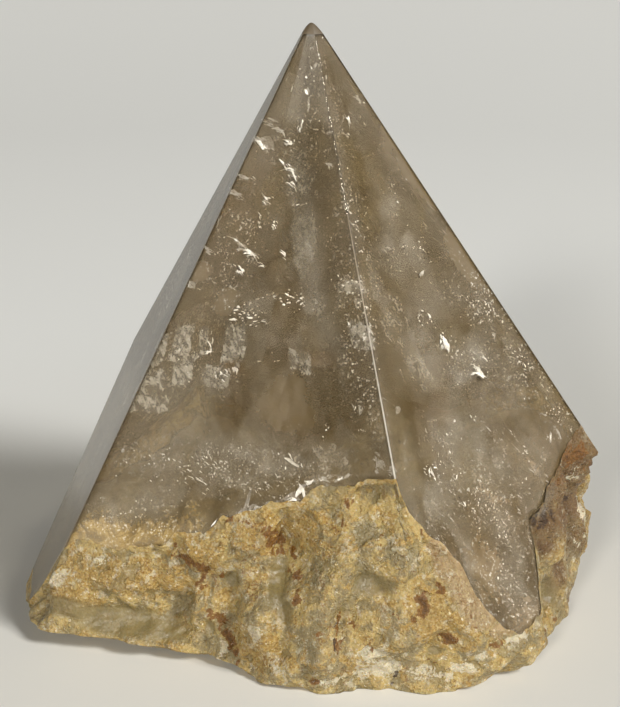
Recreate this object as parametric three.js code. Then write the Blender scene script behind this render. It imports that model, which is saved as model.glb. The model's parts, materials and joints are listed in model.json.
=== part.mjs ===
// A quartz crystal whose upper part is ground and polished to a six-sided point and whose
// foot keeps its broken, iron-stained natural skin. It stands on a flat cut at its base.
// Units are millimetres. +Z is up, X runs left to right, +Y is the side away from the viewer,
// and the origin lies on the cut, straight below the apex.

import * as THREE from 'three';
import { mergeVertices } from 'three/addons/utils/BufferGeometryUtils.js';

// ---- driving dimensions ----------------------------------------------------------------

const APEX_HEIGHT = 97; // where the six polished planes would meet
const TIP_START = 2.7; // the wear rounding of the tip begins this far below the apex
const TIP_RINGS = [ // [ depth below the apex, share of the width where the rounding begins ]
	[ 1.9, 0.68 ],
	[ 1.4, 0.45 ],
	[ 1.13, 0.22 ],
];
const TIP_TOP = 1.05; // the worn tip stops this far below the sharp apex

// Where each polished ridge, carried on, would meet the base plane: [ x, y ].
const RIDGE_FEET = [
	[ - 53.3, 14 ],
	[ - 46.9, - 22 ],
	[ 18.8, - 47 ],
	[ 66, - 12 ],
	[ 40, 42 ],
	[ - 12, 50 ],
];

// Below this height a seventh, narrow plane takes off ridge 0. At the base plane it reaches
// these shares of the way to the feet of ridges 5 and 1.
const FORK_HEIGHT = 42.5;
const FORK_BACK = 0.13;
const FORK_FRONT = 0.55;

// Height of the line where polish stops and broken skin begins: [ azimuth in degrees, height ].
const GRIND_LINE = [
	[ 5, 25 ], [ 16, 19 ], [ 28, 15 ], [ 40, 17 ], [ 52, 21 ], [ 64, 17 ], [ 76, 12 ],
	[ 88, 14 ], [ 100, 19 ], [ 112, 22 ], [ 124, 17 ], [ 136, 12 ], [ 148, 13 ], [ 157, 11 ],
	[ 165, 9 ], [ 175, 6.5 ], [ 186, 5.2 ], [ 196, 4.4 ], [ 200, 7.5 ], [ 203, 12.5 ],
	[ 206, 18 ], [ 213, 17.1 ], [ 219, 17.6 ], [ 225, 18.8 ], [ 228, 21 ], [ 236, 21.3 ],
	[ 241, 24.6 ], [ 250, 26 ], [ 258, 27 ], [ 266, 28.1 ], [ 270, 30.2 ], [ 279, 31.2 ],
	[ 291.7, 33.3 ], [ 295, 27.1 ], [ 300, 24 ], [ 305, 20.2 ], [ 306.5, 15.5 ],
	[ 311.6, 9.6 ], [ 317.7, 8 ], [ 321, 9.5 ], [ 323.6, 14.6 ], [ 327.4, 22.4 ],
	[ 333.3, 24.3 ], [ 339, 27.9 ], [ 349.7, 33 ], [ 355, 29.5 ],
];

// The broken foot: [ azimuth, lip radius, lip height, radius where it rests on the cut ].
const FOOT = [
	[ 0, 44.2, 1.5, 43.2 ], [ 14, 44.6, 1.5, 43 ], [ 30, 45, 2, 43 ], [ 50, 45, 2, 42.5 ],
	[ 70, 42, 2, 40 ], [ 90, 41, 1.5, 39.5 ], [ 110, 41, 1.5, 39.5 ], [ 130, 42.5, 2, 40 ],
	[ 150, 45, 2.5, 41 ], [ 165, 48, 3, 41 ], [ 180, 48.5, 3, 39 ], [ 190, 48.8, 2.6, 37.5 ],
	[ 198, 49.2, 2.6, 37 ], [ 207, 47.6, 3, 36 ], [ 218, 39.8, 3, 31 ], [ 227.5, 34.8, 2.4, 28.5 ],
	[ 237, 31.8, 1.8, 28.5 ], [ 250, 32.6, 1.2, 31.4 ], [ 256, 33.6, 0.8, 33 ],
	[ 269, 34.9, 0.7, 34.3 ], [ 281.5, 36.5, 0.7, 35.9 ], [ 294.6, 39.3, 0.7, 38.7 ],
	[ 305.6, 42.2, 0.8, 41.5 ], [ 314, 43.4, 1, 42.4 ], [ 322, 42.8, 1, 41.6 ],
	[ 337.4, 43.2, 1.2, 42 ],
];

// How far the wall between lip and grind line stands out: [ azimuth, near the top, lower down ].
const SWELL = [
	[ 0, 2.4, 1 ], [ 30, 1.5, 1.5 ], [ 60, 1, 2 ], [ 95, 1, 1.5 ], [ 130, 1.2, 1.6 ],
	[ 160, 0.5, 0.6 ], [ 190, 0, 0.2 ], [ 212, 0.3, 0.2 ], [ 228, 0.4, - 0.4 ],
	[ 245, 0.8, 0.4 ], [ 265, 0.6, 1 ], [ 285, 0.4, 1.2 ], [ 300, 0.6, 1 ],
	[ 318, 0.2, 0.6 ], [ 330, 0.6, 0.4 ], [ 348, 0.4, 0.8 ],
];

// Lumps and hollows: azimuth, height, half width, half height, how far out (+) or in (-).
const LUMPS = [
	// the wing at the left: a scooped underside, a rolled band above it, a crack
	[ 201, 3, 4, 2.5, 1.5 ], [ 209, 5, 3, 1.6, - 0.6 ], [ 216, 6.8, 8, 3.2, - 1.8 ], [ 226, 5.7, 5, 3, - 1.5 ],
	[ 213, 12.5, 9, 2.4, 0.9 ], [ 217.7, 10.1, 4.5, 0.9, - 0.7 ],
	// the front: stained grooves, smooth hollows, crumbly lumps and a notch at the foot
	[ 231.5, 14.2, 2, 4, - 1.2 ], [ 237, 10.4, 3.5, 4, 0.8 ], [ 245.7, 6.2, 2, 5, - 1.4 ],
	[ 252, 16, 3, 5, 0.7 ], [ 260, 21.4, 1.8, 2.6, - 1.2 ], [ 261, 15.2, 4, 5.5, - 1.6 ],
	[ 268, 13, 3, 6, 0.9 ], [ 272, 8.5, 3, 5, 0.8 ], [ 277.7, 7.7, 1.4, 6, - 2 ],
	[ 278, 24, 5, 3, 0.8 ], [ 286, 17, 5, 3.6, - 1.5 ], [ 285.3, 4.4, 3.8, 3.5, 1.3 ],
	[ 289.6, 2.4, 1.4, 3.2, - 2 ], [ 294.5, 13.8, 1.6, 3, - 1.2 ], [ 298.8, 16.6, 2.4, 2.2, - 1 ],
	[ 300.6, 8.8, 2, 3, - 1 ], [ 304, 8, 4, 4, 0.7 ], [ 313, 1.6, 2, 2, - 1.2 ],
	// the right: two dark hollows, then upright layered ribs
	[ 319, 8, 1.6, 2.4, - 0.9 ], [ 330.5, 21, 2.4, 3, - 2.4 ], [ 331.3, 14.5, 2, 3.4, - 1.8 ],
	[ 341, 22, 2, 8, 0.9 ], [ 346, 30, 2.4, 1.8, 0.7 ], [ 346, 18, 1.4, 9, - 1.1 ],
	[ 351, 18, 2, 9, 1 ], [ 356.5, 14, 1.6, 8, - 1 ],
	// the back: broad shell-shaped scoops with low ridges between them
	[ 20, 9, 8, 5, - 1.6 ], [ 42, 10, 6, 7, - 1.4 ], [ 60, 8, 5, 4, 0.9 ], [ 82, 6, 8, 4, - 1.5 ],
	[ 108, 11, 7, 7, - 1.8 ], [ 130, 7, 5, 4, 0.8 ], [ 148, 6, 7, 3.5, - 1.2 ],
];

// Roughness of the skin. Broken quartz steps from one flat-topped swell to the next.
const BROAD_RELIEF = 2.6; // height of the broad swells, the size of one, and its steps
const BROAD_SIZE = 15;
const BROAD_STEPS = 3.2;
const FINE_RELIEF = 1; // height and size of the finer lumps
const FINE_SIZE = 5.5;
const WAVES = 7; // plane waves that add up to the swells
const GOLDEN_ANGLE = Math.PI * ( 3 - Math.sqrt( 5 ) );
const LIP_RAGGEDNESS = 0.6; // share of the relief that the lip takes
const REST_RAGGEDNESS = 0.7; // and the outline of the cut
const SKIN_STEP = 0.3; // the skin stays at least this far inside the polished planes
const STEP_HEIGHT = 0.8; // height of the chipped step under the grind line
const CALM_BAND = 2; // the relief dies out this close to the grind line

const COLUMN_STEP = 2.4; // degrees between the columns of the broken foot, about
const WALL_ROWS = 16;
const UNDERSIDE_ROWS = 3;
const HUB = [ 3, - 2 ]; // centre of the fan that closes the cut
const HALVINGS = 40; // steps in the search for where a ridge meets the grind line

// ---- small helpers -----------------------------------------------------------------------

const degrees = Math.PI / 180;
const { lerp: mix, smoothstep: smooth } = THREE.MathUtils;

// Straight interpolation round the full circle in a list whose rows start with an azimuth.
function around( rows, azimuth, column ) {

	const turn = ( ( azimuth % 360 ) + 360 ) % 360;
	let after = rows.findIndex( ( row ) => row[ 0 ] > turn );
	if ( after < 0 ) after = 0;
	const b = rows[ after ];
	const a = rows[ ( after + rows.length - 1 ) % rows.length ];
	const span = ( b[ 0 ] - a[ 0 ] + 360 ) % 360;
	const along = ( ( turn - a[ 0 ] + 360 ) % 360 ) / span;
	return mix( a[ column ], b[ column ], along );

}

const bump = ( t, centre, width ) => Math.exp( - ( ( ( t - centre ) / width ) ** 2 ) );

// ---- the polished planes -------------------------------------------------------------------

// A point on a ridge of the sharp pyramid, this far below the apex.
const onRidge = ( i, depth ) => new THREE.Vector3( ...RIDGE_FEET[ i ], 0 )
	.multiplyScalar( depth / APEX_HEIGHT ).setZ( APEX_HEIGHT - depth );

const apex = onRidge( 0, 0 );
const feet = RIDGE_FEET.map( ( foot, i ) => onRidge( i, APEX_HEIGHT ) );
const fork = onRidge( 0, APEX_HEIGHT - FORK_HEIGHT );
const forkBackFoot = feet[ 0 ].clone().lerp( feet[ 5 ], FORK_BACK );
const forkFrontFoot = feet[ 0 ].clone().lerp( feet[ 1 ], FORK_FRONT );

const planeThrough = ( a, b, c ) => new THREE.Plane().setFromCoplanarPoints( a, b, c );
const planes = feet.map( ( foot, i ) => planeThrough( apex, foot, feet[ ( i + 1 ) % feet.length ] ) );
planes.push( planeThrough( fork, forkBackFoot, forkFrontFoot ) );

// Distance from the axis to the polished surface in one direction at one height.
function polishedRadius( azimuth, z ) {

	const x = Math.cos( azimuth * degrees );
	const y = Math.sin( azimuth * degrees );
	let nearest = Infinity;
	for ( const plane of planes ) {

		const facing = plane.normal.x * x + plane.normal.y * y;
		const reach = - plane.constant - plane.normal.z * z;
		if ( facing > 1e-9 ) nearest = Math.min( nearest, reach / facing );

	}

	return nearest;

}

// ---- the broken foot -----------------------------------------------------------------------

// Irregular swells, from about -1 to 1: waves of several lengths in directions that never repeat.
function swells( x, y, z, size ) {

	let sum = 0;
	for ( let k = 0; k < WAVES; k ++ ) {

		const turn = k * GOLDEN_ANGLE;
		const rise = 0.9 * Math.sin( 1.7 * k );
		const along = ( x * Math.cos( turn ) + y * Math.sin( turn ) ) * Math.cos( rise ) + z * Math.sin( rise );
		const length = size * ( 0.7 + 0.13 * k );
		sum += Math.sin( 2 * Math.PI * along / length + 1.9 * k * k );

	}

	return 1.5 * sum / WAVES;

}

// Flat treads with short risers between them, one for each whole number.
const terrace = ( height ) => Math.floor( height ) + smooth( height - Math.floor( height ), 0.6, 1 );

// How far a point of the wall stands out from (+) or back into (-) the plain foot.
function relief( azimuth, radius, z ) {

	const x = radius * Math.cos( azimuth * degrees );
	const y = radius * Math.sin( azimuth * degrees );
	let out = BROAD_RELIEF * terrace( swells( x, y, z, BROAD_SIZE ) * BROAD_STEPS ) / BROAD_STEPS;
	out += FINE_RELIEF * swells( x, y, z, FINE_SIZE );
	for ( const [ where, height, halfWidth, halfHeight, depth ] of LUMPS ) {

		const turn = ( azimuth - where + 540 ) % 360 - 180;
		const across = turn * degrees * radius / halfWidth;
		const up = ( z - height ) / halfHeight;
		out += depth * Math.exp( - across * across - up * up );

	}

	return out;

}

// One column of the foot, from the cut up to the grind line, as a list of points.
function footColumn( azimuth ) {

	const grindHeight = around( GRIND_LINE, azimuth, 1 );
	const grindRadius = polishedRadius( azimuth, grindHeight );
	const lipHeight = around( FOOT, azimuth, 2 );
	const restRadius = around( FOOT, azimuth, 3 ) + relief( azimuth, 30, 0 ) * REST_RAGGEDNESS;
	const lipRadius = Math.min( around( FOOT, azimuth, 1 ), polishedRadius( azimuth, lipHeight ) - SKIN_STEP );
	const wallHeight = grindHeight - lipHeight;
	const stepDown = Math.min( STEP_HEIGHT, wallHeight / 3 );
	const points = [];
	const place = ( radius, z ) => points.push( new THREE.Vector3(
		radius * Math.cos( azimuth * degrees ), radius * Math.sin( azimuth * degrees ), z ) );

	place( restRadius, 0 );
	const lip = lipRadius + relief( azimuth, lipRadius, lipHeight ) * LIP_RAGGEDNESS;
	const heldIn = Math.min( lip, polishedRadius( azimuth, lipHeight ) - SKIN_STEP );
	for ( let i = 1; i < UNDERSIDE_ROWS; i ++ ) {

		const along = i / UNDERSIDE_ROWS;
		place( mix( restRadius, heldIn, along ), lipHeight * along ** 1.5 );

	}

	for ( let i = 0; i <= WALL_ROWS; i ++ ) {

		const along = i / WALL_ROWS;
		const z = lipHeight + along * ( wallHeight - stepDown );
		const share = ( z - lipHeight ) / wallHeight;
		const plain = mix( lipRadius, grindRadius, share );
		const swell = around( SWELL, azimuth, 1 ) * bump( share, 0.8, 0.22 )
			+ around( SWELL, azimuth, 2 ) * bump( share, 0.35, 0.3 );
		const calm = smooth( grindHeight - z, 0, CALM_BAND ) * mix( LIP_RAGGEDNESS, 1, smooth( share, 0, 0.2 ) );
		const radius = plain + swell * smooth( share, 0, 0.15 ) + calm * relief( azimuth, plain, z );
		place( Math.min( radius, polishedRadius( azimuth, z ) - SKIN_STEP ), z );

	}

	place( grindRadius, grindHeight );
	return points;

}

// ---- the crystal ---------------------------------------------------------------------------

const positions = [];
const addTriangle = ( a, b, c ) => positions.push( ...a.toArray(), ...b.toArray(), ...c.toArray() );

function addQuad( a, b, c, d ) {

	addTriangle( a, b, c );
	addTriangle( a, c, d );

}

// The ridges that reach the grind line, in order round the crystal.
const ridges = [
	{ from: fork, foot: forkBackFoot },
	{ from: fork, foot: forkFrontFoot },
	...feet.slice( 1 ).map( ( foot ) => ( { from: apex, foot } ) ),
];

// The direction in which a ridge meets the grind line, found by halving.
function ridgeAzimuth( { from, foot } ) {

	let low = 0;
	let high = 1;
	let azimuth = 0;
	for ( let step = 0; step < HALVINGS; step ++ ) {

		const middle = ( low + high ) / 2;
		const point = from.clone().lerp( foot, middle );
		azimuth = Math.atan2( point.y, point.x ) / degrees;
		if ( point.z > around( GRIND_LINE, azimuth, 1 ) ) low = middle;
		else high = middle;

	}

	return ( azimuth + 360 ) % 360;

}

// Columns run round the crystal from ridge to ridge, so that each ridge has one of its own.
const columns = [];
const ridgeColumns = [];
const azimuths = ridges.map( ridgeAzimuth );
azimuths.forEach( ( start, i ) => {

	const span = ( azimuths[ ( i + 1 ) % azimuths.length ] - start + 360 ) % 360;
	const count = Math.round( span / COLUMN_STEP );
	ridgeColumns.push( columns.length );
	for ( let k = 0; k < count; k ++ ) columns.push( footColumn( ( start + span * k / count ) % 360 ) );

} );

const columnAt = ( i ) => columns[ i % columns.length ];

// The skin of the foot and the flat cut.
const hub = new THREE.Vector3( ...HUB, 0 );
for ( let i = 0; i < columns.length; i ++ ) {

	const here = columnAt( i );
	const next = columnAt( i + 1 );
	for ( let row = 1; row < here.length; row ++ ) {

		addQuad( here[ row - 1 ], next[ row - 1 ], next[ row ], here[ row ] );

	}

	addTriangle( hub, next[ 0 ], here[ 0 ] );

}

// The polished facets, each one flat polygon: the grind line from one ridge to the next, then
// its upper corners from right to left.
const tipCorners = RIDGE_FEET.map( ( foot, i ) => onRidge( i, TIP_START ) );
const upperCorners = [
	[ fork ],
	[ tipCorners[ 1 ], tipCorners[ 0 ], fork ],
	[ tipCorners[ 2 ], tipCorners[ 1 ] ],
	[ tipCorners[ 3 ], tipCorners[ 2 ] ],
	[ tipCorners[ 4 ], tipCorners[ 3 ] ],
	[ tipCorners[ 5 ], tipCorners[ 4 ] ],
	[ fork, tipCorners[ 0 ], tipCorners[ 5 ] ],
];

upperCorners.forEach( ( corners, side ) => {

	const last = ridgeColumns[ side + 1 ] ?? columns.length;
	const outline = [];
	for ( let i = ridgeColumns[ side ]; i <= last; i ++ ) outline.push( columnAt( i ).at( - 1 ) );
	const along = outline.at( - 1 ).clone().sub( outline[ 0 ] ).setZ( 0 ).normalize();
	outline.push( ...corners );
	const flat = outline.map( ( point ) => new THREE.Vector2( point.dot( along ), point.z ) );
	for ( const [ a, b, c ] of THREE.ShapeUtils.triangulateShape( flat, [] ) ) {

		const turnsLeft = THREE.ShapeUtils.area( [ flat[ a ], flat[ b ], flat[ c ] ] ) > 0;
		if ( turnsLeft ) addTriangle( outline[ a ], outline[ b ], outline[ c ] );
		else addTriangle( outline[ a ], outline[ c ], outline[ b ] );

	}

} );

// The worn tip: rings that draw in faster than the ridges do.
const tipRings = [ [ TIP_START, 1 ], ...TIP_RINGS ].map( ( [ depth, share ] ) =>
	tipCorners.map( ( corner ) => corner.clone().multiplyScalar( share ).setZ( APEX_HEIGHT - depth ) ) );
const top = new THREE.Vector3( 0, 0, APEX_HEIGHT - TIP_TOP );
for ( let i = 0; i < tipCorners.length; i ++ ) {

	const j = ( i + 1 ) % tipCorners.length;
	for ( let k = 0; k + 1 < tipRings.length; k ++ ) {

		addQuad( tipRings[ k ][ i ], tipRings[ k ][ j ], tipRings[ k + 1 ][ j ], tipRings[ k + 1 ][ i ] );

	}

	addTriangle( tipRings.at( - 1 )[ i ], tipRings.at( - 1 )[ j ], top );

}

const soup = new THREE.BufferGeometry();
soup.setAttribute( 'position', new THREE.Float32BufferAttribute( positions, 3 ) );
const geometry = mergeVertices( soup, 1e-4 );
geometry.computeVertexNormals();

const smokyQuartz = new THREE.MeshStandardMaterial( { color: 0x8c7c60, roughness: 0.08, metalness: 0 } );
const point = new THREE.Mesh( geometry, smokyQuartz );
point.name = 'quartz_point';

const crystal = new THREE.Group();
crystal.add( point );

export default crystal;
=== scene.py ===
import json
import math
from functools import reduce

import bpy
import numpy as np
from bpy.props import FloatProperty, FloatVectorProperty, IntProperty, PointerProperty
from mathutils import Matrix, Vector

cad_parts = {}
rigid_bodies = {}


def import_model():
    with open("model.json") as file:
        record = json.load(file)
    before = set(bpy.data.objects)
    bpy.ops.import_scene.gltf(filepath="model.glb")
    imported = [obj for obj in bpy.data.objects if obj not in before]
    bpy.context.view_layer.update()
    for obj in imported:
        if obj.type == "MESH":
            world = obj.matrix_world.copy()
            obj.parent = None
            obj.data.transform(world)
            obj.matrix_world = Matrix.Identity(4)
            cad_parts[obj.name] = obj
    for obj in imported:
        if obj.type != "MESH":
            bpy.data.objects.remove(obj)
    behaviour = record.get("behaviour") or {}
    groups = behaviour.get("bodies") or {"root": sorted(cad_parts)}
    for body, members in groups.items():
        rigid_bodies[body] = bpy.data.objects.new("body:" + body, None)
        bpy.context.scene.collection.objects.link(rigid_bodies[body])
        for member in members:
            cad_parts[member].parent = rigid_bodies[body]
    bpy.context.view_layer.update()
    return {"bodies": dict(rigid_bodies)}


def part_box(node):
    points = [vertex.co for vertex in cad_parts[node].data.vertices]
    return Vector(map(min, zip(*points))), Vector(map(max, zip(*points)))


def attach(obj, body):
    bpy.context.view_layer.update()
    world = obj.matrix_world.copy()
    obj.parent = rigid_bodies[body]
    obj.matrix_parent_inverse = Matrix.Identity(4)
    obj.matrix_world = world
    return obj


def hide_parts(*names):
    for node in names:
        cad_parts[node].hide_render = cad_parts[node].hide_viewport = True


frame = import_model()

bl_info = {
    "name": "Polished quartz point",
    "version": (1, 0, 0),
    "blender": (4, 5, 0),
    "location": "3D View > Sidebar > Quartz",
    "description": "Builds a quartz crystal with polished facets, a stained broken foot and inner veils",
    "category": "Object",
}

NODE = "quartz_point"
BODY = next(iter(frame["bodies"]))

# ---- shape of the crystal, in millimetres ------------------------------------------------------
# +Z is up, X runs left to right, +Y is the far side, and the origin lies under the apex.

APEX_HEIGHT = 97.0  # where the six polished planes would meet
TIP_START = 2.7  # the wear rounding of the tip begins this far below the apex
TIP_TOP = 1.05  # the worn tip stops this far below the sharp apex
CRYSTAL_HEIGHT = APEX_HEIGHT - TIP_TOP

node_low, node_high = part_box(NODE)
MM = (node_high[2] - node_low[2]) / CRYSTAL_HEIGHT  # one millimetre in the frame's units

RIDGE_FEET = [(-53.3, 14), (-46.9, -22), (18.8, -47), (66, -12), (40, 42), (-12, 50)]
FORK_HEIGHT = 42.5  # below this a seventh, narrow plane takes off ridge 0
FORK_BACK = 0.13
FORK_FRONT = 0.55

# Height of the line where polish stops and broken skin begins: (azimuth in degrees, height).
GRIND_LINE = [
    (5, 25), (16, 19), (28, 15), (40, 17), (52, 21), (64, 17), (76, 12), (88, 14), (100, 19),
    (112, 22), (124, 17), (136, 12), (148, 13), (157, 11), (165, 9), (175, 6.5), (186, 5.2),
    (196, 4.4), (200, 7.5), (203, 12.5), (206, 18), (213, 17.1), (219, 17.6), (225, 18.8),
    (228, 21), (236, 21.3), (241, 24.6), (250, 26), (258, 27), (266, 28.1), (270, 30.2),
    (279, 31.2), (291.7, 33.3), (295, 27.1), (300, 24), (305, 20.2), (306.5, 15.5),
    (311.6, 9.6), (317.7, 8), (321, 9.5), (323.6, 14.6), (327.4, 22.4), (333.3, 24.3),
    (339, 27.9), (349.7, 33), (355, 29.5),
]

# The broken foot: (azimuth, lip radius, lip height, radius where it rests on the cut).
FOOT = [
    (0, 44.2, 1.5, 43.2), (14, 44.6, 1.5, 43), (30, 45, 2, 43), (50, 45, 2, 42.5),
    (70, 42, 2, 40), (90, 41, 1.5, 39.5), (110, 41, 1.5, 39.5), (130, 42.5, 2, 40),
    (150, 45, 2.5, 41), (165, 48, 3, 41), (180, 48.5, 3, 39), (190, 48.8, 2.6, 37.5),
    (198, 49.2, 2.6, 37), (207, 47.6, 3, 36), (218, 39.8, 3, 31), (227.5, 34.8, 2.4, 28.5),
    (237, 31.8, 1.8, 28.5), (250, 32.6, 1.2, 31.4), (256, 33.6, 0.8, 33), (269, 34.9, 0.7, 34.3),
    (281.5, 36.5, 0.7, 35.9), (294.6, 39.3, 0.7, 38.7), (305.6, 42.2, 0.8, 41.5),
    (314, 43.4, 1, 42.4), (322, 42.8, 1, 41.6), (337.4, 43.2, 1.2, 42),
]

# How far the wall between lip and grind line stands out: (azimuth, near the top, lower down).
SWELL = [
    (0, 2.4, 1), (30, 1.5, 1.5), (60, 1, 2), (95, 1, 1.5), (130, 1.2, 1.6), (160, 0.5, 0.6),
    (190, 0, 0.2), (212, 0.3, 0.2), (228, 0.4, -0.4), (245, 0.8, 0.4), (265, 0.6, 1),
    (285, 0.4, 1.2), (300, 0.6, 1), (318, 0.2, 0.6), (330, 0.6, 0.4), (348, 0.4, 0.8),
]

# Lumps and hollows: azimuth, height, half width, half height, how far out (+) or in (-).
LUMPS = [
    # the wing at the left: a scooped underside, a rolled band above it, a crack
    (201, 3, 4, 2.5, 1.5), (209, 5, 3, 1.6, -0.6), (216, 6.8, 8, 3.2, -1.8), (226, 5.7, 5, 3, -1.5),
    (213, 12.5, 9, 2.4, 0.9), (217.7, 10.1, 4.5, 0.9, -0.7),
    # the front: stained grooves, smooth hollows, crumbly lumps and a notch at the foot
    (231.5, 14.2, 2, 4, -1.2), (237, 10.4, 3.5, 4, 0.8), (245.7, 6.2, 2, 5, -1.4),
    (252, 16, 3, 5, 0.7), (260, 21.4, 1.8, 2.6, -1.2), (261, 15.2, 4, 5.5, -1.6),
    (268, 13, 3, 6, 0.9), (272, 8.5, 3, 5, 0.8), (277.7, 7.7, 1.4, 6, -2),
    (278, 24, 5, 3, 0.8), (286, 17, 5, 3.6, -1.5), (285.3, 4.4, 3.8, 3.5, 1.3),
    (289.6, 2.4, 1.4, 3.2, -2), (294.5, 13.8, 1.6, 3, -1.2), (298.8, 16.6, 2.4, 2.2, -1),
    (300.6, 8.8, 2, 3, -1), (304, 8, 4, 4, 0.7), (313, 1.6, 2, 2, -1.2),
    # the right: two dark hollows, then upright layered ribs
    (319, 8, 1.6, 2.4, -0.9), (330.5, 21, 2.4, 3, -2.4), (331.3, 14.5, 2, 3.4, -1.8),
    (341, 22, 2, 8, 0.9), (346, 30, 2.4, 1.8, 0.7), (346, 18, 1.4, 9, -1.1),
    (351, 18, 2, 9, 1), (356.5, 14, 1.6, 8, -1),
    # the back: broad shell-shaped scoops with low ridges between them
    (20, 9, 8, 5, -1.6), (42, 10, 6, 7, -1.4), (60, 8, 5, 4, 0.9), (82, 6, 8, 4, -1.5),
    (108, 11, 7, 7, -1.8), (130, 7, 5, 4, 0.8), (148, 6, 7, 3.5, -1.2),
]

BROAD_RELIEF = 2.6  # height of the broad swells, the size of one, and its steps
BROAD_SIZE = 15.0
BROAD_STEPS = 3.2
FINE_RELIEF = 1.0  # height and size of the finer lumps
FINE_SIZE = 5.5
WAVES = 7  # waves that make up a pattern of swells, each turned by the next angle
GOLDEN_ANGLE = math.pi * (3 - math.sqrt(5))
LIP_RAGGEDNESS = 0.6  # share of the relief that the lip of the foot has
REST_RAGGEDNESS = 0.7  # the same where the foot meets the cut
REST_RADIUS = 30.0  # that relief is taken at this distance from the axis
SKIN_STEP = 0.1  # the skin stays at least this far inside the polished planes
STEP_HEIGHT = 0.8  # height of the small step from the skin up to the polish
CALM_BAND = 2.0  # relief fades out this far under that step
UPPER_SWELL = (0.8, 0.22)  # middle and spread of the two swells, as shares of the wall
LOWER_SWELL = (0.35, 0.3)
CRUMB_RELIEF = 0.36  # height of the small sharp steps of broken quartz
CRUMB_FADE = 2.5  # they fade out this far under the grind line
CHIP_HEIGHT = 1.2  # how far the grind line strays up and down

# ---- numbers for the mesh ----------------------------------------------------------------------

RIDGE_WIDTH = 0.13  # the worn ridge reaches this far on to each facet
RIDGE_LINES = 5  # lines of points across a worn ridge
SHINY_RIDGE = 3  # the front ridge shines low down and all but vanishes near the top
SHINE_HEIGHTS = (38, 46, 54, 62, 69)
TIP_TAPER = 0.25  # the wear narrows to this share of its width at the tip
TIP_RINGS = 7  # rings of points up the worn tip, and steps along each of its sides
TIP_SIDE_STEPS = 4
STEP_ROWS = 5  # rows of faces up the step, up the underside and in across the cut
UNDERSIDE_ROWS = 12
CUT_RINGS = 10
HUB = (3.0, -2.0)  # middle of the cut


# ---- shape functions, on whole arrays at once --------------------------------------------------

def circle(azimuth, radius=1.0):
    """X and Y of points at these azimuths, in degrees, and distances from the axis."""
    turn = np.radians(azimuth)
    return radius * np.cos(turn), radius * np.sin(turn)


def polar(points):
    """Azimuths, in degrees, and distances from the axis of a list of points."""
    x, y = points[:, 0], points[:, 1]
    return np.degrees(np.arctan2(y, x)) % 360, np.hypot(x, y)


def around(rows, azimuth, column):
    """Straight interpolation round the full circle in a list whose rows start with an azimuth."""
    table = sorted(rows)
    return np.interp(azimuth, [r[0] for r in table], [r[column] for r in table], period=360)


def smooth(value, low, high):
    t = np.clip((value - low) / (high - low), 0, 1)
    return t * t * (3 - 2 * t)


def bump(value, centre, width):
    return np.exp(-(((value - centre) / width) ** 2))


def swells(x, y, z, size):
    """Irregular swells from about -1 to 1: waves in directions that never repeat."""
    total = 0.0
    for k in range(WAVES):
        turn = k * GOLDEN_ANGLE
        rise = 0.9 * math.sin(1.7 * k)
        along = (x * math.cos(turn) + y * math.sin(turn)) * math.cos(rise) + z * math.sin(rise)
        length = size * (0.7 + 0.13 * k)
        total = total + np.sin(2 * math.pi * along / length + 1.9 * k * k)
    return 1.5 * total / WAVES


def terrace(height):
    """Flat treads with short risers between them, one for each whole number."""
    whole = np.floor(height)
    return whole + smooth(height - whole, 0.6, 1)


def turned_from(azimuth, where):
    """How far an azimuth lies from another one the short way round, in radians."""
    return np.radians((azimuth - where + 540) % 360 - 180)


def spots(rows, azimuth, radius, z):
    """For each row, its last number and a soft round spot on the wall that is 1 in its middle."""
    for where, height, half_width, half_height, amount in rows:
        sideways = turned_from(azimuth, where) * radius / half_width
        yield amount, np.exp(-(sideways ** 2) - ((z - height) / half_height) ** 2)


def relief(azimuth, radius, z):
    """How far a point of the wall stands out from (+) or back into (-) the plain foot."""
    x, y = circle(azimuth, radius)
    out = BROAD_RELIEF * terrace(swells(x, y, z, BROAD_SIZE) * BROAD_STEPS) / BROAD_STEPS
    out = out + FINE_RELIEF * swells(x, y, z, FINE_SIZE)
    for depth, spot in spots(LUMPS, azimuth, radius, z):
        out = out + depth * spot
    return out


# ---- the polished planes -----------------------------------------------------------------------

def on_ridge(i, depth):
    """A point on a ridge of the sharp pyramid, this far below the apex."""
    x, y = RIDGE_FEET[i % len(RIDGE_FEET)]
    share = depth / APEX_HEIGHT
    return np.array([x * share, y * share, APEX_HEIGHT - depth])


def outward_normal(a, b, c):
    n = np.cross(b - a, c - a)
    n /= np.linalg.norm(n)
    return n if n[2] > 0 else -n


APEX = on_ridge(0, 0)
FEET = [on_ridge(i, APEX_HEIGHT) for i in range(6)]
FORK = on_ridge(0, APEX_HEIGHT - FORK_HEIGHT)
FORK_BACK_FOOT = FEET[0] + (FEET[5] - FEET[0]) * FORK_BACK
FORK_FRONT_FOOT = FEET[0] + (FEET[1] - FEET[0]) * FORK_FRONT
# The ridges that reach the grind line, in order round the crystal, and the facet after each.
RIDGES = [(FORK, FORK_BACK_FOOT), (FORK, FORK_FRONT_FOOT)] + [(APEX, foot) for foot in FEET[1:]]
FACETS = [outward_normal(FORK, FORK_BACK_FOOT, FORK_FRONT_FOOT)]
FACETS += [outward_normal(APEX, FEET[i], FEET[(i + 1) % 6]) for i in range(6)]
REACH = [FACETS[0] @ FORK] + [n @ APEX for n in FACETS[1:]]


def polished_radius(azimuth, z):
    """Distance from the axis to the polished surface in one direction at one height."""
    x, y = circle(azimuth)
    nearest = np.full(np.shape(x + z), np.inf)
    for n, reach in zip(FACETS, REACH):
        facing = n[0] * x + n[1] * y
        distance = (reach - n[2] * z) / np.where(facing > 1e-6, facing, 1)
        nearest = np.where(facing > 1e-6, np.minimum(nearest, distance), nearest)
    return nearest


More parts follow.
